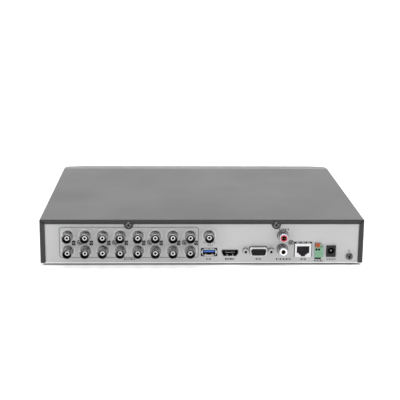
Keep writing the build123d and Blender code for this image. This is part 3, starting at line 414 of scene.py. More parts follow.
def bnc_detail():
    """Turned nickel bodies with a rolled shoulder, a waist, two bayonet lugs and a chamfered mouth. One
    nickel body is drawn in three tones: the necks in dark nickel as painted shade, the mouths in a lighter
    nickel and the shoulders in a bright finish as painted highlights. The black rings in the grooves and the
    black linings and grey floor in each bore are painted shade.
    """
    shoulder = past(INNER, (-8.0, 5.1), (-8.0, 5.9)) + [(PANEL + 0.9, 5.93)] + past(
        FLANGE, (0.5, 5.93), (0.75, 5.82), (0.85, 5.6), (0.85, 5.42), (0.4, 5.3), (0.4, 5.1))
    neck = past(INNER, (-8.0, 2.05), (-8.0, 5.05)) + past(
        FLANGE, (0.9, 5.05), (1.0, 4.7), (2.2, 4.7), (2.35, 4.4), (2.7, 4.4), (2.85, 4.7), (3.3, 4.7),
        (3.45, 4.4), (3.8, 4.4), (3.95, 4.7), (4.4, 4.7), (4.55, 4.45), (4.9, 4.45), (5.1, 4.65)) + past(
        TIP, (-5.2, 4.65), (-5.2, 4.42), (-9.6, 4.42), (-9.6, 2.05))
    mouth = past(TIP, (-5.18, 4.42), (-5.18, 4.7), (-5.08, 4.80), (-0.35, 4.80), (-0.12, 4.72), (0.0, 4.62),
                 (0.0, 4.5), (-0.06, 4.38), (-0.2, 4.34), (-0.5, 4.34), (-0.5, 4.42))
    necks, rims, mouths = bmesh.new(), bmesh.new(), bmesh.new()
    for x, z in JACKS:
        lathe_y(necks, x, z, neck)
        lathe_y(mouths, x, z, mouth)
        lathe_y(rims, x, z, shoulder)
    piece("bnc_necks", necks, "nickel", replaces=["bnc_jacks"])
    piece("bnc_mouths", mouths, "nickel_painted_highlight", replaces=["bnc_jacks"])
    piece("bnc_shoulders", rims, "shell_bright", replaces=["bnc_jacks"])
    dark = bmesh.new()
    grooves = ((1.0, 1.8, 4.66, 4.74), (2.36, 2.69, 4.38, 4.47), (3.46, 3.79, 4.38, 4.47),
               (4.56, 4.89, 4.43, 4.51), (0.8, 0.88, 5.55, 5.78))      # from y, to y, from r, to r
    for x, z in JACKS:
        for y0, y1, low, high in grooves:
            lathe_y(dark, x, z, past(FLANGE, (y0, low), (y0, high), (y1, high), (y1, low)))
    piece("bnc_knurl_shadows", dark, "socket_black")
    lugs = bmesh.new()
    stud = [(4.6, 0), (4.6, 0.98), (5.3, 0.98), (5.46, 0.86), (5.5, 0.7), (5.5, 0)]
    for x, z in JACKS:
        for sign in (1, -1):
            turned(lugs, stud, 20, lambda out, a, b: (x + sign * out, LUG_Y + a, z + b))
    piece("bnc_bayonet_lugs", lugs, "nickel")
    nose, base, bed, contact = (bmesh.new() for _ in range(4))
    for x, z in JACKS:
        lathe_y(nose, x, z, past(DEEP, (-0.1, 1.32), (-0.1, 2.14), (0.12, 2.14), (0.34, 2.08), (0.4, 1.98),
                                 (0.4, 1.46), (0.28, 1.34)), 48)
        # Black sleeve round the insulator, black lining in the bore and round the contact hole: painted
        # shade.
        lathe_y(base, x, z,
                past(TIP, (-8.18, 1.32), (-8.18, 2.1)) + past(DEEP, (-0.12, 2.1), (-0.12, 1.32)), 48)
        lathe_y(base, x, z, past(TIP, (-8.1, 4.32), (-8.1, 4.4), (-0.52, 4.4), (-0.52, 4.32)), 48)
        # Grey floor of the bore: painted shade on the white insulator.
        lathe_y(bed, x, z, past(TIP, (-9.4, 1.35), (-9.4, 4.4), (-8.2, 4.4), (-8.2, 1.35)), 48)
        lathe_y(base, x, z, past(TIP, (-8.0, 1.1), (-8.0, 1.3)) + past(DEEP, (0.2, 1.3), (0.2, 1.1)), 32)
        lathe_y(base, x, z, past(DEEP, (-3.6, 0), (-3.6, 1.08), (-3.2, 1.08), (-3.2, 0)), 32)
        lathe_y(contact, x, z, past(INNER, (-10, 0), (-10, 0.84)) + past(
            DEEP, (-3.9, 0.84), (-3.9, 0.5), (-4.8, 0.45), (-4.8, 0)), 32)
    piece("bnc_insulator_noses", nose, "jack_white_painted_glow", replaces=["bnc_insulators"])
    piece("bnc_bore_painted_shade", base, "socket_black", replaces=["bnc_insulators"])
    piece("bnc_bore_floor_painted_shade", bed, "bed_painted_shade", replaces=["bnc_insulators"])
    piece("bnc_contact_tubes", contact, "gold_contact", replaces=["bnc_contacts"])


def rca_detail():
    """Phono jacks: rolled chrome shell with a flange, and a coloured insert with a rounded mouth. The shell's
    body is a dark nickel as painted shade and its rolled lip a light bluish metal as painted highlight.
    """
    places = [(c.x, c.z) for c in centres("rca_shells", 2)]
    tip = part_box("rca_shells")[1].y / MM
    bm, lip = bmesh.new(), bmesh.new()
    for x, z in places:
        lathe_y(bm, x, z, past(INNER, (-5.9, 3.0), (-5.9, 4.03)) + past(
            PANEL, (0.62, 4.03), (0.62, 5.1), (1.5, 5.15), (1.68, 5.0), (1.72, 4.8), (1.72, 4.05),
            (2.3, 3.95), (2.5, 4.13), (3.6, 4.13), (3.8, 3.9), (4.2, 3.9), (4.4, 4.13)) + past(
            tip, (-2.6, 4.13), (-2.45, 4.0), (-2.45, 3.0)))
        lathe_y(lip, x, z, past(tip, (-2.4, 3.2), (-2.4, 4.0), (-2.25, 4.1), (-0.5, 4.1), (-0.2, 4.03),
                                (-0.03, 3.88), (0.0, 3.7), (0.0, 3.6), (-0.08, 3.42), (-0.3, 3.3),
                                (-1.0, 3.22)))
    piece("rca_shells_turned", bm, "rca_nickel_painted_shade", replaces=["rca_shells"])
    piece("rca_shell_lips", lip, "lip_painted_highlight", replaces=["rca_shells"])
    from_top = sorted(places, key=lambda p: -p[1])
    # The white insert takes the white with the painted glow.
    for (x, z), name, mat in zip(from_top, ("red", "white"), ("red_plastic", "jack_white_painted_glow")):
        bm = bmesh.new()
        lathe_y(bm, x, z, past(INNER, (-5.8, 2.2), (-5.8, 2.95)) + past(
            tip, (-2.3, 2.95), (-2.3, 3.18), (-0.6, 3.18), (-0.35, 3.1), (-0.3, 2.95), (-0.3, 2.4),
            (-0.42, 2.25), (-0.6, 2.2)), 48)
        piece("rca_insert_" + name, bm, mat, replaces=["rca_insulators"])
    # Black sleeves in the inserts' holes: painted shade.
    bm, clip = bmesh.new(), bmesh.new()
    for x, z in places:
        lathe_y(bm, x, z, past(INNER, (-5.7, 0), (-5.7, 2.18)) + past(tip, (-0.65, 2.18), (-0.8, 1.95))
                + past(INNER, (-3.0, 1.7), (-3.0, 0)), 48)
        for turn in (90, 210, 330):
            c, s = cos_sin(turn)
            blade = [(1.5, 0.45), (1.5, -0.45), (1.3, -0.45), (1.3, 0.45)]
            prism_y(clip, [(x + a * c - b * s, z + a * s + b * c) for a, b in blade], INNER - 2.9, tip - 3.2)
    piece("rca_bore_painted_shade", bm, "socket_black", replaces=["rca_insulators"])
    piece("rca_spring_blades", clip, "gold_contact", replaces=["rca_contacts"])


# ------------------------------------------------------------------ printed legends
def frame_line(bm, x0, x1, z0, z1, r, w):
    """Printed line of width w round a rectangle."""
    cx, cz = (x0 + x1) / 2, (z0 + z1) / 2
    ring_y(bm, rounded_rect(cx, cz, x1 - x0 + w, z1 - z0 + w, r + w / 2),
           rounded_rect(cx, cz, x1 - x0 - w, z1 - z0 - w, r - w / 2), PANEL - 0.01, PANEL + INK)


def dash(bm, x, z, w, h, turn=0.0):
    """Printed rectangle."""
    prism_y(bm, slot_outline(x, z, w / 2, h / 2, turn), PANEL - 0.01, PANEL + INK)


def tick_row(bm, x, z, widths, h, stroke, gap=0.35):
    """A generic mark in place of a caption: small open and filled blocks of uneven width, not letters."""
    total = sum(widths) + gap * (len(widths) - 1)
    at = x + total / 2
    for i, w in enumerate(widths):
        cx = at - w / 2
        if i % 2:
            dash(bm, cx, z + h / 2 - stroke / 2, w, stroke)
            dash(bm, cx, z - h / 2 + stroke / 2, w, stroke)
        else:
            dash(bm, cx, z, w * 0.8, h)
        at -= w + gap


def number(bm, text, x, z, height):
    """Digits from the built-in font, readable from the rear."""
    curve = bpy.data.curves.new("digits", "FONT")
    curve.body, curve.size, curve.extrude = text, 1.0, 0.0
    curve.align_x, curve.align_y = "CENTER", "CENTER"
    obj = bpy.data.objects.new("digits", curve)
    SCENE.collection.objects.link(obj)
    bpy.context.view_layer.update()
    mesh = bpy.data.meshes.new_from_object(obj.evaluated_get(bpy.context.evaluated_depsgraph_get()))
    ys = [v.co.y for v in mesh.vertices]
    mid, k = (min(ys) + max(ys)) / 2, height / (max(ys) - min(ys))
    flat = bmesh.new()
    flat.from_mesh(mesh)
    bmesh.ops.remove_doubles(flat, verts=flat.verts, dist=1e-5)
    for v in flat.verts:
        v.co = Vector(((x - v.co.x * k) * MM, (PANEL + INK) * MM, (z + (v.co.y - mid) * k) * MM))
    made = bmesh.ops.extrude_face_region(flat, geom=list(flat.faces))
    for item in made["geom"]:
        if isinstance(item, bmesh.types.BMVert):
            item.co.y += 0.03 * MM
    tmp = bpy.data.meshes.new("tmp")
    flat.to_mesh(tmp)
    flat.free()
    bm.from_mesh(tmp)
    bpy.data.meshes.remove(tmp)
    bpy.data.meshes.remove(mesh)
    bpy.data.objects.remove(obj)
    bpy.data.curves.remove(curve)


def legends():
    """The frame round the inputs, the channel numbers, a mark beside each connector, and the earth sign."""
    first, last = JACKS[0][0], JACKS[2 * COLUMNS - 2][0]
    pitch = (first - last) / (COLUMNS - 1)
    grey, dark, boxes, digits = bmesh.new(), bmesh.new(), bmesh.new(), bmesh.new()
    frame_line(grey, 4.05, 138.65, DATUM + 6.65, DATUM + 37.25, 2.6, 0.85)
    for col in range(COLUMNS):
        x = first - pitch * col - 5.55
        for row in range(2):
            z = DATUM + 22.75 - row * 2.6
            prism_y(boxes, rounded_rect(x, z, 3.4, 2.15, 0.6), PANEL - 0.01, PANEL + INK)
            number(digits, str(2 * col + row + 1), x, z, 1.15)
    for x, z, widths, h, stroke in (
        (71.1, 4.9, [1.5, 1.6, 0.6, 1.5, 1.5, 0.6, 1.4], 1.5, 0.36),
        (-6.1, 5.1, [1.3, 1.2, 1.4], 1.7, 0.4),
        (-26.7, 5.1, [1.9, 2.1, 2.1, 1.9], 1.8, 0.6),
        (-54.7, 5.0, [1.5, 1.5, 1.5], 1.8, 0.45),
        (-79.4, 4.8, [1.4, 1.6, 1.6, 0.7, 1.6, 0.6, 1.6, 1.6, 1.2], 1.7, 0.4),
        (-79.2, 35.1, [1.3, 1.4, 1.3, 0.6, 1.3, 0.6, 1.2], 1.6, 0.4),
        (-99.0, 4.65, [1.3, 1.5, 1.6], 1.7, 0.4),
        (-126.4, 4.6, [1.0, 0.9, 1.0, 0.7, 1.1, 1.0, 1.0], 1.5, 0.28),
        (-114.1, 3.2, [1.3, 1.1, 0.6, 1.4, 1.3, 1.2], 1.6, 0.4),
    ):
        tick_row(dark, x, DATUM + z, widths, h, stroke)
    prism_y(dark, rounded_rect(-113.2, DATUM + 5.55, 6.6, 1.7, 0.25), PANEL - 0.01, PANEL + INK)
    for x, z, w, h, turn in (
        (-1.2, 21.9, 0.5, 2.2, 28),
        (-2.6, 21.7, 0.5, 2.2, -28),
        (-11.5, 21.6, 1.3, 1.6, 0),
        (-5.6, 19.0, 1.2, 1.8, 0),
        (-7.6, 19.0, 1.2, 1.8, 0),
        (-9.7, 19.0, 1.1, 1.8, 0),
    ):
        dash(grey, x, DATUM + z, w, h, turn)
    x, z = -144.0, DATUM + 13.4
    dash(grey, x, z + 0.95, 0.45, 1.5)
    for i, w in enumerate((3.0, 2.0, 1.0)):
        dash(grey, x, z - i * 0.75, w, 0.38)
    piece("legend_lines", grey, "grey_ink", smooth=0)
    piece("legend_marks", dark, "dark_ink", smooth=0)
    piece("legend_channel_boxes", boxes, "dark_ink", smooth=0)
    piece("legend_channel_numbers", digits, "light_ink", smooth=0)


# ------------------------------------------------------------------ connectors and screws
def rounded_polygon(points, r, n=5):
    """Outline with every corner rounded to r. Takes and gives points going the same way round."""
    out = []
    for k, here in enumerate(points):
        here = Vector(here)
        a = (Vector(points[k - 1]) - here).normalized()
        b = (Vector(points[(k + 1) % len(points)]) - here).normalized()
        half = a.angle(b) / 2
        reach = r / math.tan(half)
        middle = here + (a + b).normalized() * (r / math.sin(half))
        start, end = here + a * reach - middle, here + b * reach - middle
        sweep = start.angle_signed(end)
        for i in range(n + 1):
            out.append(tuple(middle + Matrix.Rotation(-sweep * i / n, 2) @ start))
    return out


def cut(bm, cutter):
    """Takes cutter away from bm, and gives the remaining bmesh."""
    objs = []
    for source in (bm, cutter):
        bmesh.ops.recalc_face_normals(source, faces=source.faces)
        mesh = bpy.data.meshes.new("work")
        source.to_mesh(mesh)
        source.free()
        obj = bpy.data.objects.new("work", mesh)
        SCENE.collection.objects.link(obj)
        objs.append(obj)
    modifier = objs[0].modifiers.new("cut", "BOOLEAN")
    modifier.object, modifier.operation, modifier.solver = objs[1], "DIFFERENCE", "EXACT"
    bpy.context.view_layer.update()
    result = bpy.data.meshes.new_from_object(objs[0].evaluated_get(bpy.context.evaluated_depsgraph_get()))
    made = bmesh.new()
    made.from_mesh(result)
    bpy.data.meshes.remove(result)
    for obj in objs:
        mesh = obj.data
        bpy.data.objects.remove(obj)
        bpy.data.meshes.remove(mesh)
    return made


def screw_head(r, h, shank_r, shank, recess, turn):
    """Pan head standing on y = 0 and pointing to +Y, with a cross recess, and its shank to -Y."""
    bm = bmesh.new()
    shaft = [(-shank, 0), (-shank, shank_r * 0.8), (-shank + 0.5, shank_r), (0, shank_r)]
    dome = ((0, 0.97), (0.12, 1), (0.5, 0.985), (0.74, 0.92), (0.9, 0.78), (0.97, 0.58), (1, 0.3), (1, 0))
    lathe_y(bm, 0, 0, shaft + [(h * up, r * out) for up, out in dome], 48)
    for angle in (turn, turn + 90):
        blade = bmesh.new()
        rings = []
        for y, length, width in ((h + 0.3, recess, 0.36 * r), (h - 0.15, recess * 0.95, 0.33 * r),
                                 (h * 0.1, recess * 0.4, 0.2 * r)):
            rings.append(ring(blade, [(a, y, b) for a, b in slot_outline(0, 0, length, width / 2, angle)]))
        bar(blade, rings)
        bm = cut(bm, blade)
    return bm


def screws(name, node, count, mat, standing, **size):
    """Every screw of one CAD node. Each head's seat is as far below the node's highest Y as standing says."""
    r, h, recess, turn = size["r"], size["h"], size["recess"], size["turn"]
    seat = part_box(node)[1].y / MM - standing
    form = bpy.data.meshes.new("form")
    head = screw_head(**size)
    head.to_mesh(form)
    head.free()
    bm, cross_shade = bmesh.new(), bmesh.new()
    for centre in centres(node, count):
        first = len(bm.verts)
        bm.from_mesh(form)
        bm.verts.ensure_lookup_table()
        bmesh.ops.translate(bm, vec=Vector((centre.x, seat, centre.z)) * MM, verts=bm.verts[first:])
        # Black crosses down in each cross recess: painted shade.
        for angle in (turn, turn + 90):
            outline = slot_outline(centre.x, centre.z, recess * 0.78, r * 0.14, angle)
            prism_y(cross_shade, outline, seat + h * 0.3, seat + h * 0.72)
    bpy.data.meshes.remove(form)
    piece(name, bm, mat, replaces=[node], smooth=40)
    piece(name + "_recess_shade", cross_shade, "socket_black")


def all_screws():
    """The heads that the rear shows."""
    screws("cover_rear_screw_heads", "cover_rear_screws", 2, "dark_screw", 1.8,
           r=3.1, h=1.75, shank_r=1.5, shank=5.0, recess=1.95, turn=20)
    screws("connector_screw_heads", "connector_screws", 5, "bright_screw", 1.25,
           r=2.25, h=1.2, shank_r=1.2, shank=5.5, recess=1.45, turn=35)
    screws("ground_screw_head", "ground_screw", 1, "dark_screw", 1.95,
           r=3.4, h=1.9, shank_r=1.6, shank=5.5, recess=2.1, turn=12)


def gap_shade_ring(bm, outline_out, outline_in):
    """Painted shade in the clearance between a connector and the edge of its hole: a black band a hair above
    the sheet.
    """
    ring_y(bm, outline_out, outline_in, PANEL - 0.02, PANEL + 0.03)


def circle(x, z, r, n=48):
    return arc(x, z, r, 0, 360 - 360 / n, n - 1)


def d_outline(x, z, w, h, r=1.6):
    """The 15-way socket's shape: wide at the top, sides leaning in by ten degrees."""
    lean = h * math.tan(math.radians(10)) / 2
    corners = [(w / 2 + lean, h / 2), (-w / 2 - lean, h / 2), (-w / 2 + lean, -h / 2), (w / 2 - lean, -h / 2)]
    return [(x + a, z + b) for a, b in rounded_polygon(corners, r)]


def hdmi_outline(x, z, grow):
    """The HDMI socket's shape, with its two lower corners cut off, grown all round."""
    w, h = 7.0 + grow, 2.275 + grow
    corners = [(w, h), (-w, h), (-w, -0.35), (-w + 2.0, -h), (w - 2.0, -h), (w, -0.35)]
    return [(x + a, z + b) for a, b in rounded_polygon(corners, 0.35)]


def middle_x(node):
    """Middle of a CAD node along X, in mm."""
    lo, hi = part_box(node)
    return (lo.x + hi.x) / 2 / MM


def bnc_collars():
    """Bright washers between the video jacks and the panel."""
    bm = bmesh.new()
    for x, z in JACKS:
        lathe_y(bm, x, z, past(PANEL, (0.02, 5.98), (0.02, 6.6), (0.14, 6.6), (0.24, 6.5), (0.26, 6.3),
                               (0.22, 5.98)))
    piece("bnc_collars", bm, "shell_bright")


def usb_detail(gaps):
    """Folded shell with five springy lips, contacts, and a tongue with a blue front. The black liner in the
    shell and the black body of the tongue behind its blue front are painted shade.
    """
    x, z, face = middle_x("usb_shell"), USB_Z, FLANGE - 0.2
    gap_shade_ring(gaps, rounded_rect(x, z, 16.2, 8.6, 1.0), rounded_rect(x, z, 12.9, 5.7, 0.5))
    shell, liner, lips = bmesh.new(), bmesh.new(), bmesh.new()
    ring_y(shell, rounded_rect(x, z, 13.1, 5.9, 0.5), rounded_rect(x, z, 12.6, 5.4, 0.4),
           face - 17.0, face - 0.1)
    # Black liner inside the shell: painted shade.
    ring_y(liner, rounded_rect(x, z, 12.55, 5.35, 0.4), rounded_rect(x, z, 12.0, 4.9, 0.3),
           face - 16.8, face - 0.7)
    prism_y(liner, rounded_rect(x, z, 12.5, 5.3, 0.4), face - 17.0, face - 16.8)
    for dx, dz, w, h in ((2.7, 3.2, 4.7, 1.0), (-2.7, 3.2, 4.7, 1.0), (0.0, -3.25, 9.4, 1.1),
                         (7.0, 0.1, 0.9, 3.0), (-7.0, 0.1, 0.9, 3.0)):
        flare(lips, x, z, x + dx, z + dz, w, h, face)
    piece("usb_shell_tube", shell, "tin_plate", replaces=["usb_shell"])
    piece("usb_shell_lips", lips, "tin_plate", replaces=["usb_shell"])
    piece("usb_liner_painted_shade", liner, "socket_black", replaces=["usb_shell"])
    tongue, cap, springs = bmesh.new(), bmesh.new(), bmesh.new()
    # Black tongue body behind the blue front: painted shade.
    prism_y(tongue, rounded_rect(x, z + 0.85, 10.7, 1.7, 0.15), face - 16.7, face - 1.0)
    prism_y(cap, rounded_rect(x, z + 0.8, 10.8, 1.6, 0.35), face - 1.0, face - 0.62)
    for dx in (-2.9, 2.9):
        prism_y(springs, rounded_rect(x + dx, z - 2.2, 1.3, 0.55, 0.2), face - 8.0, face - 0.8)
    for i in range(5):
        prism_y(springs, rounded_rect(x + (i - 2) * 2.0, z - 0.08, 0.8, 0.12, 0.05), face - 12.0, face - 2.0)
    piece("usb_tongue_painted_shade", tongue, "socket_black", replaces=["usb_tongue"])
    piece("usb_tongue_front", cap, "blue_plastic", replaces=["usb_tongue"])
    piece("usb_springs", springs, "gold_contact", replaces=["usb_shell"])


def hdmi_detail(gaps):
    """Dark shell with a black liner inside it as painted shade, tongue, two springs and the bent tab below.
    """
    x, z, face = middle_x("hdmi_shell"), HDMI_Z, FLANGE - 0.1
    gap_shade_ring(gaps, hdmi_outline(x, z, 1.0), hdmi_outline(x, z, 0.5))
    shell, liner, tongue, springs = bmesh.new(), bmesh.new(), bmesh.new(), bmesh.new()
    ring_y(shell, hdmi_outline(x, z, 0.7), hdmi_outline(x, z, 0.3), face - 12.0, face - 0.05)
    # Black liner inside the shell: painted shade.
    ring_y(liner, hdmi_outline(x, z, 0.28), hdmi_outline(x, z, 0.08), face - 11.8, face - 0.5)
    prism_y(liner, hdmi_outline(x, z, 0.2), face - 12.0, face - 11.8)
    prism_y(tongue, rounded_rect(x, z + 0.5, 9.6, 0.6, 0.12), face - 11.8, face - 0.9)
    for dx in (-2.7, 2.7):
        prism_y(springs, rounded_rect(x + dx, z - 2.05, 1.3, 0.5, 0.2), face - 7.0, face - 0.5)
    tab = [(x - 4.6, z - 3.3), (x + 4.6, z - 3.3), (x + 4.9, z - 2.95), (x - 4.9, z - 2.95)]
    prism_y(springs, tab, PANEL + 0.02, face)
    piece("hdmi_shell_tube", shell, "black_nickel", replaces=["hdmi_shell"])
    piece("hdmi_liner_painted_shade", liner, "socket_black", replaces=["hdmi_shell"])
    piece("hdmi_springs", springs, "tin_plate", replaces=["hdmi_shell"])
    piece("hdmi_tongue_bar", tongue, "pin_grey", replaces=["hdmi_tongue"])


def vga_detail(gaps):
    """Bright D-shaped rim, fifteen pin sockets, and the washers of the two jack screws, with black discs in
    their threaded holes as painted shade.
    """
    x, z, tip = middle_x("vga_shell"), VGA_Z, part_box("vga_shell")[1].y / MM
    gap_shade_ring(gaps, d_outline(x, z, 17.4, 9.4, 2.4), d_outline(x, z, 16.0, 8.0, 2.4))
    shell, sockets, washers, hole_shade_discs = (bmesh.new() for _ in range(4))
    rounds = [(y, d_outline(x, z, 8.4 + h, h, 2.2))
              for y, h in ((INNER - 1.0, 8.0), (tip - 1.2, 8.0), (tip - 0.35, 7.9), (tip, 7.45))]
    rounds += [(y, d_outline(x, z, 15.35, 6.9, 1.7)) for y in (tip - 0.05, INNER - 1.0)]
    skin(shell, [ring(shell, [(a, y, b) for a, b in outline]) for y, outline in rounds], closed=True)
    for dz, shift in ((1.98, -0.57), (0.0, 0.57), (-1.98, -0.57)):
        for i in range(5):
            lathe_y(sockets, x + (i - 2) * 2.29 + shift, z + dz,
                    past(tip, (-4.5, 0.2), (-4.5, 0.42), (-0.6, 0.42), (-0.6, 0.2)), 20)
    piece("vga_shell_rim", shell, "shell_bright")
    piece("vga_pin_sockets", sockets, "black_nickel")
    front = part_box("vga_jack_screws")[1].y / MM
    for c in centres("vga_jack_screws", 2):
        lathe_y(hole_shade_discs, c.x, c.z,
                past(front, (-0.6, 0), (-0.6, 1.3), (0.01, 1.3), (0.01, 0.95), (-0.4, 0.9), (-0.4, 0)), 32)
        lathe_y(washers, c.x, c.z, past(PANEL, (0.02, 2.7), (0.02, 3.1), (0.35, 3.1), (0.35, 2.7)))
    piece("vga_thread_hole_shade", hole_shade_discs, "socket_black")
    piece("vga_washers", washers, "nickel")


def lan_detail(gaps):
    """Seven grounding fingers of the shield, in the taller slot above it."""
    x, z = middle_x("lan_shield"), LAN_Z
    gap_shade_ring(gaps, rounded_rect(x, z + 0.75, 17.6, 15.7, 0.3), rounded_rect(x, z, 16.0, 13.5, 0.3))
    fingers = bmesh.new()
    for i in range(7):
        prism_y(fingers, rounded_rect(x + (i - 3) * 2.1, z + 7.85, 0.9, 1.0, 0.2), PANEL - 0.3, PANEL + 0.3)
    piece("lan_ground_fingers", fingers, "pin_grey")


def connector_detail():
    """Every connector, with the painted shade in the clearances round them gathered in one piece."""
    gaps = bmesh.new()
    bnc_collars()
    for c in centres("rca_shells", 2):
        gap_shade_ring(gaps, circle(c.x, c.z, 5.55), circle(c.x, c.z, 5.0))
    for c in centres("connector_screws", 5):
        gap_shade_ring(gaps, circle(c.x, c.z, 2.6), circle(c.x, c.z, 2.1))
    usb_detail(gaps)
    hdmi_detail(gaps)
    vga_detail(gaps)
    lan_detail(gaps)
    piece("cutout_gap_shade", gaps, "socket_black")


def flare(bm, x, z, cx, cz, w, h, face):
    """One springy lip of a socket, curling out from the mouth towards the panel's plane."""
    across = abs(cz - z) > abs(cx - x)
    sign = (1 if cz > z else -1) if across else (1 if cx > x else -1)
    reach, long = (h, w) if across else (w, h)
    rings = []
    for i in range(5):
        t = i / 4
        out = (t - 0.5) * reach
        y = face - 0.15 - 0.55 * t * t
        low = max(PANEL + 0.05, y - 0.3)
        ends = []
        for run in (0.12 * t - long / 2, long / 2 - 0.12 * t):
            ends.append((cx + run, cz + sign * out) if across else (cx + sign * out, cz + run))
        (a, b), (c, d) = ends
        rings.append(ring(bm, ((a, y, b), (c, y, d), (c, low, d), (a, low, b))))
    bar(bm, rings)


def corner_seams():
    """Paint-filled mitres where the cover's rear flanges meet, followed over the rounded bend."""
    bm = bmesh.new()
    radius, side, top = 1.2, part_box("top_cover")[1].x / MM, DATUM + COVER_HEIGHT
    run = Vector((-5.0, -4.5)).normalized()                # the mitre runs to the flanges' inner corner
    across = Vector((-run.y, run.x)) * 0.5
    for sign in (1, -1):
        rings = []
        for t in (0.47, 0.62, 0.85, 1.2, 2.6, 4.0, 5.0):
            fall = radius - math.sqrt(max(0.0, radius ** 2 - max(0.0, radius - t) ** 2))
            middle = Vector((side - t, top - 0.9 * t))
            face = FLANGE + 0.03 - fall
            a, b = middle + across, middle - across
            rings.append(ring(bm, [(sign * p.x, y, p.y)
                                   for p, y in ((a, face), (b, face), (b, face - 0.5), (a, face - 0.5))]))
        bar(bm, rings)
    piece("cover_corner_seams", bm, "socket_black")


def panel_bend():
    """Painted highlight along the lower bend of the rear panel: a lighter, faintly glowing strip for the
    light the bend catches.
    """
    bm = bmesh.new()
    low, back, bend, half_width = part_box("chassis_tray")[0].z / MM, PANEL, 1.4, 154.5
    section = []
    for r, angles in ((bend + 0.02, range(12, 91, 13)), (bend - 0.03, range(90, 11, -13))):
        section += [(back - bend + r * s, low + bend - r * c) for c, s in map(cos_sin, angles)]
    bar(bm, [ring(bm, [(x, y, z) for y, z in section]) for x in (-half_width, half_width)])
    piece("panel_bend_painted_highlight", bm, "bend_painted_highlight")


def terminal_detail():
    """Painted lavender edge light round the stepped terminal, as light through its clear body shows, and
    painted shade in its two wire holes and in lines beside its buttons.
    """
    edge_light_band, black = bmesh.new(), bmesh.new()
    lo, hi = (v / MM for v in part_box("terminal_body"))
    x0, x1, face = lo.x, hi.x, hi.y
    step_x, step_z, low_z, top_z, margin = -115.9, DATUM + 18.2, DATUM + 7.2, DATUM + 21.0, 0.45
    outer = [(x1 + margin, top_z + margin), (step_x - margin, top_z + margin),
             (step_x - margin, step_z + margin), (x0 - margin, step_z + margin),
             (x0 - margin, low_z - 0.3), (x1 + margin, low_z - 0.3)]
    inner = [(x1, top_z), (step_x, top_z), (step_x, step_z), (x0, step_z), (x0, low_z), (x1, low_z)]
    ring_y(edge_light_band, outer, inner, PANEL + 0.01, PANEL + 0.25)
    # Black plugs in the two wire holes and black lines beside the buttons: painted shade.
    wire_hole_shade = past(face, (-2.0, 0), (-2.0, 0.84), (0.02, 0.84), (0.02, 1.12), (0.06, 1.12), (0.06, 0.8),
                     (-1.9, 0.78), (-1.9, 0))
    for x in (-111.35, -113.89):
        lathe_y(black, x, DATUM + 15.3, wire_hole_shade, 32)
    for left, right, foot in ((-112.8, -112.45, 17.0), (-110.45, -109.95, 18.3)):
        line = [(left, DATUM + foot), (right, DATUM + foot), (right, DATUM + 20.9), (left, DATUM + 20.9)]
        prism_y(black, line, face - 0.2, face + 0.05)
    piece("terminal_painted_edge_light", edge_light_band, "lavender_painted_edge_light")
    piece("terminal_shadows", black, "socket_black")


bnc_detail()
rca_detail()
legends()
all_screws()
connector_detail()
terminal_detail()
corner_seams()
panel_bend()


# ------------------------------------------------------------------ camera, floor and light
def camera():
    """Long lens behind the recorder and a little above it."""
    data = bpy.data.cameras.new("camera")
    obj = bpy.data.objects.new("camera", data)
    SCENE.collection.objects.link(obj)
    SCENE.camera = obj
    pitch, yaw, roll = (math.radians(v) for v in CAMERA_TURN)
    forward = Vector((-math.sin(yaw) * math.cos(pitch), -math.cos(yaw) * math.cos(pitch), -math.sin(pitch)))
    right = forward.cross(Vector((0, 0, 1))).normalized()
    up = right.cross(forward)
    c, s = math.cos(roll), math.sin(roll)
    right, up = c * right + s * up, c * up - s * right
    matrix = Matrix((right, up, -forward)).transposed().to_4x4()
    matrix.translation = Vector(CAMERA_PLACE)
    obj.matrix_world = matrix
    data.sensor_width, data.lens = CAMERA_SENSOR, CAMERA_LENS
    data.clip_start, data.clip_end = 0.01, 300.0


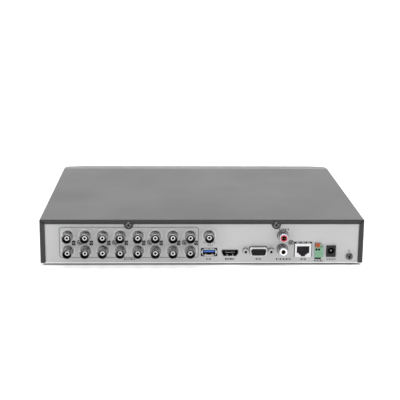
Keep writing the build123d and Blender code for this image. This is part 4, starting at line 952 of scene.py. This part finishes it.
def floor():
    """A pale floor that glows a little except under the case, so that the gap there stays dark."""
    bm = bmesh.new()
    bmesh.ops.create_grid(bm, x_segments=1, y_segments=1, size=FLOOR_SIZE)
    mesh = bpy.data.meshes.new("floor")
    bm.to_mesh(mesh)
    bm.free()
    obj = bpy.data.objects.new("floor", mesh)
    SCENE.collection.objects.link(obj)
    t = Tree("studio_floor")
    split = t.add("ShaderNodeSeparateXYZ")
    t.link(t.coords(), split.inputs[0])
    edges = []
    for axis, centre, half in UNDER_CASE:
        shift = t.add("ShaderNodeMath", operation="SUBTRACT")
        shift.inputs[1].default_value = centre
        t.link(split.outputs[axis], shift.inputs[0])
        size = t.add("ShaderNodeMath", operation="ABSOLUTE")
        t.link(shift.outputs[0], size.inputs[0])
        past = t.add("ShaderNodeMath", operation="SUBTRACT")
        past.inputs[1].default_value = half
        t.link(size.outputs[0], past.inputs[0])
        edges.append(past.outputs[0])
    outside = t.add("ShaderNodeMath", operation="MAXIMUM")
    t.link(edges[0], outside.inputs[0])
    t.link(edges[1], outside.inputs[1])
    glow = t.add("ShaderNodeMapRange", interpolation_type="SMOOTHSTEP")
    for key, value in (("From Min", -1.0 * MM), ("From Max", 1.5 * MM),
                       ("To Min", 0.0), ("To Max", FLOOR_GLOW)):
        glow.inputs[key].default_value = value
    t.link(outside.outputs[0], glow.inputs["Value"])
    t.link(glow.outputs["Result"], t.bsdf.inputs["Emission Strength"])
    paper = t.noise(6.0, 2.0)
    t.link(t.ramp(paper, [(0.3, (0.66, 0.66, 0.66)), (0.7, (0.68, 0.68, 0.68))]), t.bsdf.inputs["Base Color"])
    t.set(Roughness=0.9, Specular_IOR_Level=0.1, Emission_Color=(1, 1, 1, 1))
    mesh.materials.append(t.mat)


def area(name, place, aim, size, power):
    """Rectangular softbox at a place, pointed at another. All in metres and watts."""
    data = bpy.data.lights.new(name, "AREA")
    data.shape, data.size, data.size_y, data.energy = "RECTANGLE", size[0], size[1], power
    obj = bpy.data.objects.new(name, data)
    obj.location = place
    obj.rotation_euler = (Vector(aim) - Vector(place)).to_track_quat("-Z", "Y").to_euler()
    SCENE.collection.objects.link(obj)


def light():
    """Bright wall beyond the recorder, dim room behind the camera, and four softboxes."""
    world = bpy.data.worlds.new("studio")
    SCENE.world = world
    world.use_nodes = True
    nodes, links = world.node_tree.nodes, world.node_tree.links
    coords = nodes.new("ShaderNodeTexCoord")
    split = nodes.new("ShaderNodeSeparateXYZ")
    ramp = nodes.new("ShaderNodeValToRGB")
    remap = nodes.new("ShaderNodeMapRange")
    links.new(coords.outputs["Generated"], split.inputs["Vector"])
    remap.inputs["From Min"].default_value, remap.inputs["From Max"].default_value = -1, 1
    links.new(split.outputs["Y"], remap.inputs["Value"])
    links.new(remap.outputs["Result"], ramp.inputs["Fac"])
    stops = ramp.color_ramp.elements
    stops[0].position, stops[0].color = 0.30, (1, 1, 1, 1)
    stops[1].position, stops[1].color = 0.62, (ROOM_DIM, ROOM_DIM, ROOM_DIM, 1)
    links.new(ramp.outputs["Color"], nodes["Background"].inputs["Color"])
    nodes["Background"].inputs["Strength"].default_value = WALL_BRIGHT
    area("softbox_left", (1.0, 1.1, 0.6), (0.05, 0.115, 0.02), (0.55, 0.9), SIDE_POWER)
    area("softbox_right", (-1.0, 1.1, 0.6), (-0.05, 0.115, 0.02), (0.55, 0.9), SIDE_POWER * RIGHT_SHARE)
    area("softbox_front", (0.25, 1.7, 0.8), (0.03, 0.115, 0.02), (1.2, 0.5), FRONT_POWER)
    area("softbox_top", (0, 0.2, 1.4), (0, 0.06, 0), (1.3, 0.7), TOP_POWER)
    SCENE.view_settings.view_transform = "Standard"


camera()
floor()
light()
